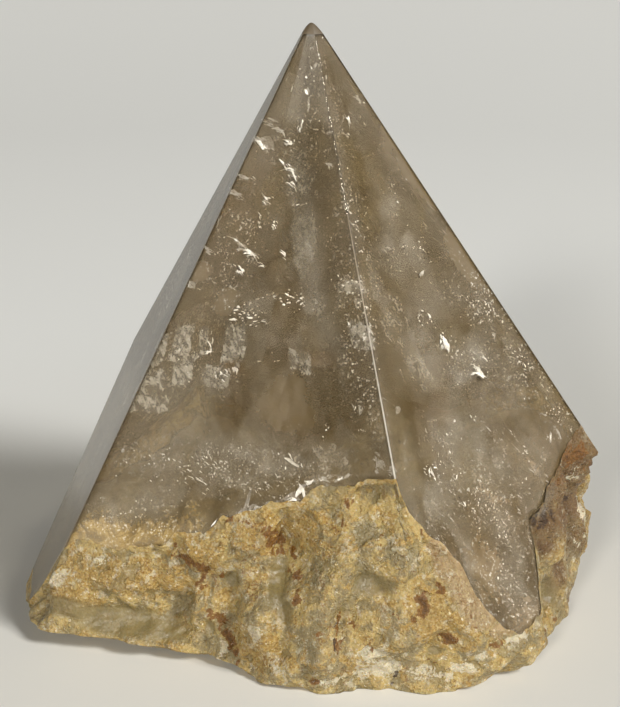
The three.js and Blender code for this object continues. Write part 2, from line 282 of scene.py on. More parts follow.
def azimuth_of(point):
    return math.degrees(math.atan2(point[1], point[0])) % 360


# ---- stains and textures of the skin -----------------------------------------------------------
# Each row: azimuth, height, half width, half height, strength.

RUST = [
    (227.6, 17.9, 0.7, 0.7, 0.88), (229.8, 17.3, 1, 0.7, 1), (231.2, 16.4, 1.2, 1, 1),
    (233.5, 16.3, 1, 0.7, 1), (235.8, 15.6, 1, 1.2, 1), (235.5, 14.1, 0.7, 1, 1),
    (234.2, 13, 0.7, 0.7, 0.99), (235.3, 11.8, 0.5, 1, 0.88), (241, 14.4, 0.7, 0.6, 0.88),
    (243.7, 24.8, 0.7, 1.2, 0.99), (248.2, 23.7, 2, 1, 0.61), (252.6, 23.9, 2.5, 1.2, 0.66),
    (257, 23, 1.5, 1.2, 0.77), (258, 20.6, 1.2, 1.7, 1), (259.9, 19, 0.7, 1, 1),
    (263.9, 19.4, 1.2, 1, 0.88), (264.9, 16.5, 1, 1, 0.99), (267.5, 16.5, 0.5, 0.7, 0.66),
    (266.6, 13.9, 1, 1.2, 0.99), (263.3, 14.2, 0.5, 0.5, 0.55), (270.8, 13, 0.7, 0.5, 0.55),
    (238.8, 8.9, 0.7, 0.7, 0.88), (240.5, 8.1, 1, 0.7, 0.88), (242.3, 7.4, 1, 1.2, 1),
    (243.8, 5.9, 1, 1.5, 1), (245.1, 4.1, 1, 1.7, 1), (247.8, 3, 0.7, 1.5, 1),
    (249.1, 1.8, 0.5, 1, 0.77), (270.3, 2.2, 1.7, 0.7, 0.99), (271.7, 10.2, 1.2, 0.6, 0.77),
    (267.4, 4.2, 1.2, 0.5, 0.55), (280.6, 28.7, 0.7, 0.7, 0.88), (282.2, 28.9, 0.5, 0.5, 0.66),
    (278.7, 25.8, 0.5, 1, 0.77), (276.3, 24.7, 0.6, 0.4, 0.66), (286.1, 25.1, 0.7, 0.7, 0.66),
    (287.2, 23.5, 0.7, 1.2, 0.55), (288.5, 21.2, 0.5, 1.5, 0.55), (297.1, 25.2, 0.7, 0.5, 0.66),
    (296.9, 16.4, 0.7, 0.5, 0.66), (299, 16.7, 1, 0.5, 0.88), (300.6, 16.8, 0.7, 0.5, 0.88),
    (295.2, 14.5, 1.2, 2, 1), (293.6, 12.8, 0.7, 1.5, 0.77), (289.5, 13.2, 0.7, 0.5, 0.77),
    (305.7, 14.5, 0.7, 0.7, 0.88), (304.3, 13, 0.5, 1.5, 0.66), (304.5, 11.4, 0.5, 1.2, 0.66),
    (300.5, 9.2, 0.7, 1.5, 1), (301.3, 8, 0.7, 1, 0.77), (284, 8.6, 0.5, 1.7, 0.77),
    (289.5, 9.6, 0.7, 1.5, 0.55), (308.8, 7.1, 1.5, 0.6, 0.88), (310.8, 7.6, 1.2, 0.7, 0.99),
    (276.8, 10.3, 0.7, 3.5, 0.88), (276, 7.5, 0.5, 2.5, 0.88), (280.4, 11.3, 0.5, 2.2, 0.77),
    (279.1, 13.7, 0.5, 1.2, 0.44), (324, 5.8, 1.7, 0.7, 0.88), (336, 3.1, 1, 1.2, 0.77),
    (345.7, 28.7, 2.5, 2.5, 0.88), (349.5, 25, 1.5, 2, 0.66), (340.2, 25.8, 2, 2, 0.55),
    (348.1, 3.3, 0.7, 2, 0.55), (298, 4.7, 1, 0.5, 0.55), (301.8, 6.2, 0.7, 0.5, 0.55),
    (18, 8, 4.4, 3.3, 0.8), (44, 12, 3.3, 4.4, 0.7), (66, 6, 5.5, 2.7, 0.6), (88, 9, 3.3, 3.3, 0.8),
    (109, 14, 4.4, 4.4, 0.7), (136, 5, 4.4, 2.2, 0.8), (160, 4, 5.5, 1.7, 0.6), (184, 3, 4.4, 1.3, 0.5),
]
# dark patches, set in the hollows and cracks of the foot, where they darken the recesses
DARK = [
    (258.2, 20.5, 0.6, 0.9, 0.77), (231.5, 16.3, 0.4, 0.4, 0.55), (275.9, 8.8, 0.4, 3.1, 0.99),
    (276.5, 11.4, 0.4, 1.8, 0.66), (295.2, 14.3, 0.4, 0.9, 0.55), (333.5, 20.4, 1.6, 1.3, 1),
    (324.7, 17.7, 0.9, 1.8, 0.99), (325.9, 24.5, 0.9, 0.7, 0.77), (333.4, 16.5, 0.9, 1.1, 0.66),
    (315.7, 10.5, 0.4, 0.9, 0.88), (316.4, 9.5, 0.4, 0.9, 0.99), (316.9, 8.6, 0.4, 0.7, 0.88),
    (289.9, 1.9, 0.4, 1.6, 0.88), (345.3, 10.1, 0.4, 0.4, 0.77), (346.6, 32.6, 0.9, 0.9, 0.55),
    (245, 4.3, 0.4, 0.9, 0.44), (336, 21, 2, 1.6, 0.9), (349, 20, 2.5, 1.2, 0.7),
    (346, 15, 1.6, 0.8, 0.6), (20, 6, 1.8, 1.8, 0.8), (108, 8, 2.4, 2.4, 0.7),
]
WHITE = [
    (205.4, 11.1, 1.2, 1, 1), (207, 12.4, 1, 0.7, 0.88), (212.3, 15.1, 1.6, 0.7, 0.77),
    (222.7, 17, 1.3, 0.8, 0.44), (243.3, 3.1, 0.8, 1.5, 0.88), (254.9, 8.1, 1.5, 2.1, 0.88),
    (258.2, 4.8, 1.3, 1.3, 0.55), (236.7, 21.5, 1.6, 1.3, 0.55), (247.6, 20.5, 1.6, 1.3, 0.39),
    (284.4, 6.5, 2.1, 1.6, 1), (287.9, 3.9, 2.3, 2, 1), (282.4, 3.1, 1.3, 1.6, 0.88),
    (304, 4, 2.6, 0.8, 1), (300.1, 2.8, 2, 0.7, 0.77), (306.6, 5.7, 2, 0.8, 0.88),
    (314.6, 8.2, 1.2, 1, 1), (313, 7.5, 1, 0.7, 0.88), (348.4, 11.9, 0.4, 4, 0.77),
    (359.9, 16, 0.4, 2.6, 0.55), (275.1, 20.4, 1.6, 1.6, 0.39), (267.3, 8.4, 2, 1.3, 0.44),
    (261.2, 0.8, 2.3, 0.8, 0.55), (294.4, 21.4, 1.3, 1.6, 0.39), (346.7, 25.7, 0.8, 0.5, 0.66),
    (262, 3.5, 3, 1.5, 0.6), (274, 2.2, 3, 1.2, 0.6), (296, 3, 3, 1.2, 0.7), (268, 5.5, 2, 1, 0.4),
    (352, 17, 1.4, 6, 0.8), (356, 10, 1.6, 4, 0.8), (347, 24, 3, 0.8, 0.7), (30, 12, 5.1, 2.6, 0.8),
    (60, 9, 5.1, 5.1, 0.7), (96, 5, 6.5, 2.6, 0.7), (128, 7, 5.1, 3.9, 0.8), (172, 4, 6.5, 1.8, 0.7),
]
GLASSY = [
    (212.8, 6.5, 6.6, 1.5, 1), (218.6, 5.1, 7.2, 2, 1), (208.1, 7.8, 4, 1.2, 0.88),
    (226.4, 4.4, 4.3, 1.6, 0.88), (259.6, 15.2, 1.8, 4, 1), (262.6, 11.8, 1.6, 2, 0.99),
    (285.3, 17.2, 3.1, 2, 1), (244, 14, 1.8, 1.8, 0.77), (239.1, 6.1, 1, 1.6, 0.99),
    (278.8, 12.8, 2, 2.3, 0.55), (298.2, 6.7, 1, 0.8, 0.99), (310.1, 10.3, 1.5, 1.3, 0.66),
    (290.5, 1.3, 1.3, 1, 0.77), (336.9, 7.4, 2, 3.6, 0.88), (350, 19.4, 1.6, 4.3, 0.77),
    (337.6, 19.7, 2, 2.6, 0.66), (277.8, 22.9, 1.3, 1.3, 0.44), (269.8, 10.5, 1.6, 1.3, 0.55),
    (233.4, 8.6, 2, 1.6, 0.55), (292.1, 27.2, 1.6, 2, 0.44), (42, 10, 5, 5, 1), (82, 7, 7, 3, 0.9),
    (148, 7, 6, 3, 0.8), (120, 13, 4, 3, 0.8),
]
OCHRE = [
    (212, 13.2, 8, 2.2, 1), (222, 12.4, 6, 2, 0.9), (208, 8.6, 4, 1.6, 0.7), (236, 18.6, 3.4, 3, 0.6),
    (254, 22, 5, 3, 0.6), (268, 24, 6, 3, 0.5), (300, 12, 5, 4, 0.5), (355, 16, 3, 9, 0.7),
    (340, 25, 3, 3, 0.6), (330, 6, 5, 2.4, 0.6), (256, 5, 5, 3, 0.6), (5, 14, 6, 6, 0.8),
    (75, 12, 8, 4, 0.8), (140, 10, 6, 3, 0.9), (178, 4, 8, 1.6, 0.9),
]


CRUST = [
    (216, 20, 17, 99, 1), (350, 30, 6, 99, 0.1), (40, 20, 30, 99, 0.7), (130, 20, 30, 99, 0.8),
]
MIST = [  # tan haze behind the polish, near the broken skin
    (312, 18, 9, 12, 0.8), (318, 9, 9, 8, 0.75), (322, 24, 8, 12, 0.7), (335, 30, 6, 8, 0.7),
    (303, 24, 5, 8, 0.5), (20, 14, 12, 6, 0.6), (80, 12, 12, 6, 0.6), (140, 12, 12, 6, 0.6),
]
# painted highlight: here the worn ridges turn near-white where they catch the light, on top of their real
# frosting
RUBBED_AND_HIGHLIT = [  # where ridges shine
    (291.8, 38, 3, 16, 1), (291.8, 62, 3, 8, 0.5), (195.5, 60, 3, 20, 0.3),
]
HAZY = [
    (294.2, 31.9, 1, 1.2, 0.88), (297.3, 29.2, 1.2, 1.5, 0.99), (299.7, 26.6, 1.6, 2, 1),
    (301.6, 22.9, 2.1, 2.6, 1), (303.1, 19.4, 2.3, 2.6, 1), (304.7, 16.2, 2.6, 3, 1),
    (306.9, 12.8, 3, 2.3, 1), (310.8, 9.4, 2.3, 1.3, 0.88), (313.9, 10.6, 1.3, 1.3, 0.88),
    (334.7, 27.1, 0.8, 2.3, 0.77), (328.1, 15.7, 1, 4.9, 0.66),
]
BROWN = [
    (348, 29, 9, 6, 1), (345, 21, 8, 6, 1), (339.5, 25, 4, 4, 1), (333.5, 19, 3, 4.5, 1),
    (351, 13, 7, 4, 0.65), (341, 10, 3, 4, 0.6), (352, 3, 8, 3, 0.6), (20, 9, 8, 5, 0.5),
    (100, 10, 10, 5, 0.5), (164, 6, 8, 3, 0.5),
]


def mask(rows, azimuth, radius, z):
    """The strongest of these spots at each point, from 0 to 1."""
    best = np.zeros(np.shape(z))
    for strength, spot in spots(rows, azimuth, radius, z):
        best = np.maximum(best, strength * spot)
    return np.clip(best, 0, 1)


def blocks(rows, azimuth, radius, z):
    """The same for upright blocks that lean a little, with straight sides."""
    best = np.zeros(np.shape(z))
    for where, height, half_width, half_height, strength in rows:
        sideways, upwards = turned_from(azimuth, where) * radius, z - height
        off = np.maximum(np.abs(sideways + 0.12 * upwards) / half_width,
                         np.abs(upwards + 0.1 * sideways) / half_height)
        best = np.maximum(best, strength * (1 - smooth(off, 0.6, 1.3)))
    return best


# ---- the mesh of the crystal -------------------------------------------------------------------

def crumbs(x, y, z):
    """Small sharp-edged steps, as broken quartz has, from about -1 to 1."""
    broad = terrace(swells(x, y, z, 6.5) * 2.2) / 2.2
    mid = terrace(swells(y, z, x, 3.1) * 1.6) / 1.6
    return 0.6 * broad + 0.45 * mid + 0.3 * swells(z, x, y, 1.7)


def bend(a, corner, b):
    """Points on a curve from a to b that rounds off a corner."""
    return [a * (1 - t) ** 2 + corner * 2 * t * (1 - t) + b * t ** 2 for t in np.linspace(0, 1, RIDGE_LINES)]


def ridge_lines(point, sides, width):
    """Points across a worn ridge at one place, from the facet before it to the facet after it."""
    return bend(point + sides[0] * width, point, point + sides[1] * width)


def corner_inside(corner, u, v, width):
    """The point of a facet that is this far from both ridges leaving one of its corners."""
    sine = np.linalg.norm(np.cross(u, v))
    return corner + (u + v) * width / sine


def across(direction, normal, towards):
    """The direction within a facet at right angles to its ridge, pointing into the facet."""
    side = np.cross(normal, direction)
    side /= np.linalg.norm(side)
    return side if side @ towards > 0 else -side


def into_facets(along, before, after):
    """The directions from a ridge into the facet before it and the facet after it."""
    return across(along, before, -after), across(along, after, -before)


def unit(v):
    return v / np.linalg.norm(v)


CLEAR, SKIN, WORN = range(3)  # finishes: polished, broken skin, worn ridge


class Grid:
    """Collects vertices, faces and what each face is, then makes the mesh."""

    def __init__(self):
        self.points = []
        self.faces = []
        self.finish = []
        self.smooth = []

    def add_points(self, points):
        first = len(self.points)
        self.points.extend(tuple(p) for p in points)
        return list(range(first, len(self.points)))

    def add_face(self, corners, finish=CLEAR, smooth_shaded=True):
        self.faces.append(tuple(corners))
        self.finish.append(finish)
        self.smooth.append(smooth_shaded)

    def add_strip(self, low, high, finish=CLEAR):
        """Quads between two open rows of corners, seen from outside with the low row below."""
        for a, b, c, d in zip(low, low[1:], high[1:], high):
            self.add_face((a, b, c, d), finish)

    def add_band(self, low, high, finish=CLEAR):
        """The same between two closed rings."""
        self.add_strip(low + low[:1], high + high[:1], finish)

    def add_fan(self, middle, ring, finish=CLEAR):
        """Triangles from a closed ring to a point below it."""
        for a, b in zip(ring, ring[1:] + ring[:1]):
            self.add_face((middle, b, a), finish)


def grind_height(azimuth):
    """Height of the ragged line where the polish stops."""
    plain = around(GRIND_LINE, azimuth, 1)
    x, y = circle(azimuth, polished_radius(azimuth, plain))
    chips = 0.5 * terrace(swells(x, y, plain, 5.2) * 1.7) / 1.7 + 0.22 * swells(x, y, plain, 1.9)
    return plain + CHIP_HEIGHT * chips


def ridge_foot(start, foot):
    """The point where a ridge meets the line where the polish stops, found by halving."""
    low, high = 0.0, 1.0
    for _ in range(40):
        middle = (low + high) / 2
        point = start + (foot - start) * middle
        if point[2] > grind_height(np.array(azimuth_of(point))):
            low = middle
        else:
            high = middle
    return point


def grain_of_skin(azimuth, radius, z):
    """How far the crumbs stand out, which are faint in glassy hollows and strong in white quartz."""
    x, y = circle(azimuth, radius)
    grain = 1 - 0.8 * mask(GLASSY, azimuth, radius, z) + 0.5 * mask(WHITE, azimuth, radius, z)
    grain = grain * (1 - 0.6 * mask(BROWN, azimuth, radius, z))
    return CRUMB_RELIEF * grain * crumbs(x, y, z)


def foot_rows(azimuth, top_points, rows):
    """Rows of points from the cut up to the grind line, each an array of one point per column."""
    top_radius = np.hypot(top_points[:, 0], top_points[:, 1])
    top_height = top_points[:, 2]
    lip_height = around(FOOT, azimuth, 2)
    rest = around(FOOT, azimuth, 3) + relief(azimuth, REST_RADIUS, 0.0) * REST_RAGGEDNESS
    limit = polished_radius(azimuth, lip_height) - SKIN_STEP
    lip_radius = np.minimum(around(FOOT, azimuth, 1), limit)
    wall = top_height - lip_height
    step_down = np.minimum(STEP_HEIGHT, wall / 3)
    swell_high = around(SWELL, azimuth, 1)
    swell_low = around(SWELL, azimuth, 2)
    out = []

    def place(radius, z):
        out.append(np.stack([*circle(azimuth, radius), z + 0 * radius], 1))

    held = np.minimum(lip_radius + relief(azimuth, lip_radius, lip_height) * LIP_RAGGEDNESS, limit)
    for i in range(UNDERSIDE_ROWS):
        t = i / UNDERSIDE_ROWS
        radius = rest + (held - rest) * t
        z = lip_height * t ** 1.5
        place(radius + grain_of_skin(azimuth, radius, z) * math.sin(math.pi * t), z)
    for i in range(rows + 1):
        z = lip_height + i / rows * (wall - step_down)
        share = (z - lip_height) / wall
        plain = lip_radius + (top_radius - lip_radius) * share
        swell = swell_high * bump(share, *UPPER_SWELL) + swell_low * bump(share, *LOWER_SWELL)
        rise = LIP_RAGGEDNESS + (1 - LIP_RAGGEDNESS) * smooth(share, 0, 0.2)
        calm = smooth(top_height - z, 0, CALM_BAND) * rise
        radius = plain + swell * smooth(share, 0, 0.15) + calm * relief(azimuth, plain, z)
        rough = smooth(top_height - z, 0, CRUMB_FADE) * smooth(share, 0, 0.06)
        radius = radius + rough * grain_of_skin(azimuth, radius, z)
        radius = np.minimum(radius, polished_radius(azimuth, z) - SKIN_STEP)
        place(radius, z)
    for i in range(1, STEP_ROWS):
        t = i / STEP_ROWS
        place(radius + (top_radius - radius) * t ** 1.7, z + (top_height - z) * t)
    out.append(top_points)
    return out


def polish_ring(ridge_width, column_count):
    """The ring where the polish stops, and the number in it of each ridge's first point."""
    crossings = []
    for i, (start, foot) in enumerate(RIDGES):
        sides = into_facets(unit(foot - start), FACETS[i - 1], FACETS[i])
        crossings.append(ridge_lines(ridge_foot(start, foot), sides, ridge_width))
    ring, ridge_columns = [], []
    for i, lines in enumerate(crossings):
        ridge_columns.append(len(ring))
        ring.extend(lines)
        start = azimuth_of(lines[-1])
        following = crossings[(i + 1) % len(crossings)][0]
        span = (azimuth_of(following) - start) % 360
        count = max(4, round(column_count * span / 360))
        azimuth = (start + span * np.arange(1, count) / count) % 360
        height = grind_height(azimuth)
        ring.extend(np.stack([*circle(azimuth, polished_radius(azimuth, height)), height], 1))
    return np.array(ring), ridge_columns


def add_foot(grid, ring, row_count):
    """The broken foot and the flat cut under it. Gives back the corners along the grind line."""
    rows = [grid.add_points(row) for row in foot_rows(polar(ring)[0], ring, row_count)]
    for low, high in zip(rows, rows[1:]):
        grid.add_band(low, high, finish=SKIN)
    rest = np.array([grid.points[i] for i in rows[0]])
    hub = np.array([*HUB, 0.0])
    outer = rows[0]
    for i in range(1, CUT_RINGS):
        inner = grid.add_points(rest + (hub - rest) * i / CUT_RINGS)
        grid.add_band(inner, outer, finish=SKIN)
        outer = inner
    grid.add_fan(grid.add_points([hub])[0], outer, finish=SKIN)
    return rows[-1]


def add_tip(grid, ridge_width):
    """The worn tip. Gives back the corners across each ridge, and those along the side after it."""
    lines = []
    for i in range(6):
        sides = into_facets(unit(FEET[i] - APEX), FACETS[6 if i == 0 else i], FACETS[i + 1])
        lines.append(ridge_lines(on_ridge(i, TIP_START), sides, ridge_width * TIP_TAPER))
    points = []
    for i, line in enumerate(lines):
        a, b = line[-1], lines[(i + 1) % 6][0]
        points.extend(line)
        points.extend(a + (b - a) * k / TIP_SIDE_STEPS for k in range(1, TIP_SIDE_STEPS))
    points = np.array(points)
    ring = grid.add_points(points)
    radius = np.hypot(points[:, 0], points[:, 1])
    flat = points * [1, 1, 0]
    rounded = flat / radius[:, None] * radius.mean()
    control = TIP_TOP / TIP_START
    below = ring
    for k in range(1, TIP_RINGS):
        t = k / TIP_RINGS
        share = (1 - t) ** 2 + 2 * t * (1 - t) * control
        depth = (1 - t) ** 2 * TIP_START + (2 * t * (1 - t) + t ** 2) * TIP_TOP
        points = (flat * (1 - t) + rounded * t) * share
        points[:, 2] = APEX_HEIGHT - depth
        above = grid.add_points(points)
        grid.add_band(below, above, WORN)
        below = above
    top = grid.add_points([(0, 0, CRYSTAL_HEIGHT)])[0]
    for a, b in zip(below, below[1:] + below[:1]):
        grid.add_face((a, b, top), WORN)
    firsts = range(0, len(ring), len(ring) // 6)
    ends = [ring[first:first + RIDGE_LINES] for first in firsts]
    sides = [ring[first + RIDGE_LINES:first + RIDGE_LINES + TIP_SIDE_STEPS - 1] for first in firsts]
    return ends, sides


def add_fork(grid, ridge_width):
    """The small rounded patch where ridge 0 splits in two. Gives back its corners and its ends."""
    up = unit(APEX - FORK)
    down_back = unit(FORK_BACK_FOOT - FORK)
    down_front = unit(FORK_FRONT_FOOT - FORK)
    at_back = corner_inside(FORK, up, down_back, ridge_width)
    at_front = corner_inside(FORK, up, down_front, ridge_width)
    at_side = corner_inside(FORK, down_back, down_front, ridge_width)
    back, front, side = grid.add_points([at_back, at_front, at_side])

    def curve(a, b, p, q):
        return [a] + grid.add_points(bend(p, FORK, q)[1:-1]) + [b]

    upper_end = curve(back, front, at_back, at_front)
    back_end = curve(back, side, at_back, at_side)
    front_end = curve(side, front, at_side, at_front)
    loop = upper_end[:-1] + front_end[:0:-1] + back_end[:0:-1]
    centre = np.mean([grid.points[i] for i in loop], axis=0)
    grid.add_fan(grid.add_points([centre * 0.5 + FORK * 0.5])[0], loop)
    return (back, front, side), (upper_end, back_end, front_end)


def add_ridges(grid, grind, ridge_columns, tip_ends, fork_ends):
    """The worn ridges. Gives back the rows of corners that lie part of the way up each of them."""
    low_ends = [grind[first:first + RIDGE_LINES] for first in ridge_columns]
    upper_end, back_end, front_end = fork_ends
    grid.add_strip(upper_end, tip_ends[0], WORN)
    grid.add_strip(low_ends[0], back_end, WORN)
    grid.add_strip(low_ends[1], front_end, WORN)
    between = {}
    for i in range(2, 7):
        low, high = low_ends[i], tip_ends[i - 1]
        feet, tips = np.array([grid.points[k] for k in low]), np.array([grid.points[k] for k in high])
        between[i] = []
        for height in SHINE_HEIGHTS if i == SHINY_RIDGE else []:
            share = ((height - feet[:, 2]) / (tips[:, 2] - feet[:, 2]))[:, None]
            between[i].append(grid.add_points(feet + (tips - feet) * share))
        rows = [low] + between[i] + [high]
        for k, (a, b) in enumerate(zip(rows, rows[1:])):
            grid.add_strip(a, b, CLEAR if i == SHINY_RIDGE and k == len(rows) - 2 else WORN)
    return between


def add_facets(grid, grind, ridge_columns, tip_ends, tip_sides, fork_corners, between):
    """The polished facets, each one flat polygon."""
    back, front, side = fork_corners
    upper = [[side]]
    for i in range(6):
        upper.append([tip_ends[(i + 1) % 6][0]] + tip_sides[i][::-1] + [tip_ends[i][-1]])
    upper[1].append(front)
    upper[6] = [back] + upper[6]
    for i, corners in enumerate(upper):
        first = ridge_columns[i] + RIDGE_LINES - 1
        last = ridge_columns[i + 1] if i + 1 < len(ridge_columns) else len(grind)
        low = grind[first:last + 1] if last < len(grind) else grind[first:] + grind[:1]
        up_right = [row[0] for row in between.get(i + 1, [])]
        down_left = [row[-1] for row in between.get(i, [])][::-1]
        grid.add_face(low + up_right + corners + down_left, smooth_shaded=False)


def crystal_grid(ridge_width, column_count, row_count):
    """The whole closed surface: cut, underside, wall, polished facets, worn ridges and tip."""
    grid = Grid()
    ring, ridge_columns = polish_ring(ridge_width, column_count)
    grind = add_foot(grid, ring, row_count)
    tip_ends, tip_sides = add_tip(grid, ridge_width)
    fork_corners, fork_ends = add_fork(grid, ridge_width)
    between = add_ridges(grid, grind, ridge_columns, tip_ends, fork_ends)
    add_facets(grid, grind, ridge_columns, tip_ends, tip_sides, fork_corners, between)
    return grid


# ---- helpers for materials ---------------------------------------------------------------------

def put(tree, socket, value):
    """Links a socket from another one, or sets it to a plain value."""
    if isinstance(value, bpy.types.NodeSocket):
        tree.links.new(value, socket)
    else:
        socket.default_value = value


def put_all(tree, sockets, values):
    for socket, value in zip(sockets, values):
        put(tree, socket, value)


def add(tree, kind, **values):
    """A node of this kind, with its settings and sockets given these values or links."""
    node = tree.nodes.new("ShaderNode" + kind)
    for name, value in values.items():
        socket = node.inputs.get(name.replace("_", " "))
        if socket is None:
            setattr(node, name, value)
        else:
            put(tree, socket, value)
    return node


def maths(tree, operation, a, b=0.0, clamp=False):
    node = add(tree, "Math", operation=operation, use_clamp=clamp)
    put_all(tree, node.inputs, (a, b))
    return node.outputs[0]


def times(tree, *values):
    return reduce(lambda a, b: maths(tree, "MULTIPLY", a, b), values)


def plus(tree, *values):
    return reduce(lambda a, b: maths(tree, "ADD", a, b), values)


def largest(tree, *values):
    return reduce(lambda a, b: maths(tree, "MAXIMUM", a, b), values)


def vector_maths(tree, operation, a, b):
    node = add(tree, "VectorMath", operation=operation)
    put_all(tree, (node.inputs[0], node.inputs["Scale" if operation == "SCALE" else 1]), (a, b))
    return node.outputs["Vector"]


def opaque(colour):
    return (*colour[:3], 1)


def mix_colour(tree, factor, a, b):
    node = add(tree, "Mix", data_type="RGBA")
    colours = [c if isinstance(c, bpy.types.NodeSocket) else opaque(c) for c in (a, b)]
    put_all(tree, (node.inputs[0], node.inputs[6], node.inputs[7]), (factor, *colours))
    return node.outputs[2]


def lay(tree, base, colour, where, share):
    """A colour laid over a base where a mask says, by no more than this share."""
    return mix_colour(tree, times(tree, where, share), base, colour)


def mix_shaders(tree, factor, a, b):
    node = add(tree, "MixShader")
    put_all(tree, node.inputs, (factor, a, b))
    return node.outputs[0]


def spread(tree, value, low, high, to_low=0.0, to_high=1.0):
    """Stretches a value from one range to another, smoothly and held at the ends."""
    limits = {"From Min": low, "From Max": high, "To Min": to_low, "To Max": to_high}
    node = add(tree, "MapRange", interpolation_type="SMOOTHSTEP", Value=value, **limits)
    return node.outputs["Result"]


def own_place(tree):
    """The place of each point in the object's own frame."""
    return add(tree, "TexCoord").outputs["Object"]


def stretched(tree, place, lean, scale):
    """Places drawn out by this scale along a direction that leans by this angle, in degrees."""
    turn = (0, math.radians(lean), 0)
    node = add(tree, "Mapping", vector_type="TEXTURE", Vector=place, Rotation=turn, Scale=scale)
    return node.outputs["Vector"]


def noise(tree, place, size, detail=4.0, roughness=0.55, distortion=0.0):
    """Noise whose lumps are about this size, in millimetres."""
    node = add(tree, "TexNoise", Vector=place, Scale=1 / (size * MM), Detail=detail,
               Roughness=roughness, Distortion=distortion)
    return node.outputs["Fac"]


def cells(tree, place, size, output="Distance"):
    """Cells of about this size, in millimetres: distance from the middle, or a colour for each."""
    return add(tree, "TexVoronoi", Vector=place, Scale=1 / (size * MM)).outputs[output]


def cell_tones(tree, place, size):
    """Three chance values for each cell, as Red, Green and Blue."""
    return add(tree, "SeparateColor", Color=cells(tree, place, size, "Color")).outputs


def attribute(tree, name, output="Fac"):
    return add(tree, "Attribute", attribute_name=name).outputs[output]


def bumps(tree, height, strength, depth, **values):
    """The surface's normal with bumps of this height, which are this deep in millimetres."""
    node = add(tree, "Bump", Height=height, Strength=strength, Distance=depth * MM, **values)
    return node.outputs["Normal"]


def glossy(tree, **values):
    return add(tree, "BsdfPrincipled", **values).outputs[0]


def new_material(name):
    """An empty node material, and its tree."""
    material = bpy.data.materials.new(name)
    material.use_nodes = True
    material.node_tree.nodes.clear()
    return material, material.node_tree


def finished(material, surface, **volume):
    add(material.node_tree, "OutputMaterial", Surface=surface, **volume)
    return material


def new_group(name, inputs, outputs):
    """A shader node group with these sockets, what it is given, and the node for its results."""
    group = bpy.data.node_groups.new(name, "ShaderNodeTree")
    for label, value in inputs.items():
        socket = group.interface.new_socket(label, in_out="INPUT", socket_type="NodeSocketFloat")
        socket.default_value = value
    for label, kind in outputs.items():
        group.interface.new_socket(label, in_out="OUTPUT", socket_type="NodeSocket" + kind)
    return group, group.nodes.new("NodeGroupInput").outputs, group.nodes.new("NodeGroupOutput").inputs


def use_group(tree, name, **values):
    """What a group puts out, given these values or links."""
    node = add(tree, "Group", node_tree=bpy.data.node_groups[name])
    for label, value in values.items():
        put(tree, node.inputs[label], value)
    return node.outputs


def make_grain_group():
    """Sugary broken quartz: a height for bumps, tilted little faces that sparkle, and a tone."""
    group, given, out = new_group(
        "Broken grain", {"Size": 1.0, "Smoothness": 0.0, "Sparkle": 0.8},
        {"Height": "Float", "Faces": "Float", "Tone": "Float", "Normal": "Vector"})
    place = vector_maths(group, "DIVIDE", own_place(group), given["Size"])
    keep = maths(group, "SUBTRACT", 1.0, given["Smoothness"])
    height = plus(group, times(group, cells(group, place, 0.5), 0.25), noise(group, place, 1.1, 6.0, 0.65))
    tilt = times(group, keep, given["Sparkle"])
    normal = add(group, "NewGeometry").outputs["Normal"]
    for size, share in ((0.32, 0.7), (0.8, 0.45)):
        centred = vector_maths(group, "SUBTRACT", cells(group, place, size, "Color"), (0.5, 0.5, 0.5))
        tilted = vector_maths(group, "SCALE", centred, times(group, tilt, share))
        normal = vector_maths(group, "ADD", normal, tilted)
    even = add(group, "VectorMath", operation="NORMALIZE", Vector=normal).outputs["Vector"]
    shade = cell_tones(group, place, 0.32)
    faces = spread(group, shade["Red"], 0.6, 0.8)
    put_all(group, out, (times(group, height, keep), faces, shade["Green"], even))


def make_stain_group():
    """Iron stain: a mask that keeps to given places but breaks up into specks at its edges."""
    group, given, out = new_group(
        "Iron stain", {"Place": 0.0, "Spread": 0.3, "Size": 1.0}, {"Mask": "Float", "Depth": "Float"})
    place = vector_maths(group, "DIVIDE", own_place(group), given["Size"])
    broad = noise(group, place, 2.4, 6.0, 0.66, 0.8)
    specks = noise(group, place, 0.7, 4.0, 0.6)
    rough = plus(group, times(group, broad, 1.6), times(group, specks, 0.7))
    total = plus(group, times(group, given["Place"], 0.8), rough, given["Spread"])
    put_all(group, out, (spread(group, total, 1.58, 1.7), spread(group, total, 1.8, 2.1)))


def make_polish_group():
    """Polish: faint smudges and wheel marks as roughness, and a nearly flat height."""
    group, given, out = new_group(
        "Polish marks", {"Roughness": 0.01, "Wear": 0.05}, {"Roughness": "Float", "Height": "Float"})
    place = own_place(group)
    drawn_out = add(group, "Mapping", Vector=place, Rotation=(0.4, 0.3, 0.2), Scale=(1.0, 1.0, 0.06))
    marks = noise(group, drawn_out.outputs["Vector"], 0.35, 2.0)
    smudge = noise(group, place, 14.0, 3.0)
    worn = times(group, spread(group, smudge, 0.5, 0.75), spread(group, marks, 0.5, 0.7))
    roughness = plus(group, times(group, worn, given["Wear"]), given["Roughness"])
    put_all(group, out, (roughness, noise(group, place, 9.0, 2.0)))


# ---- materials of the crystal ------------------------------------------------------------------

QUARTZ_IOR = 1.544


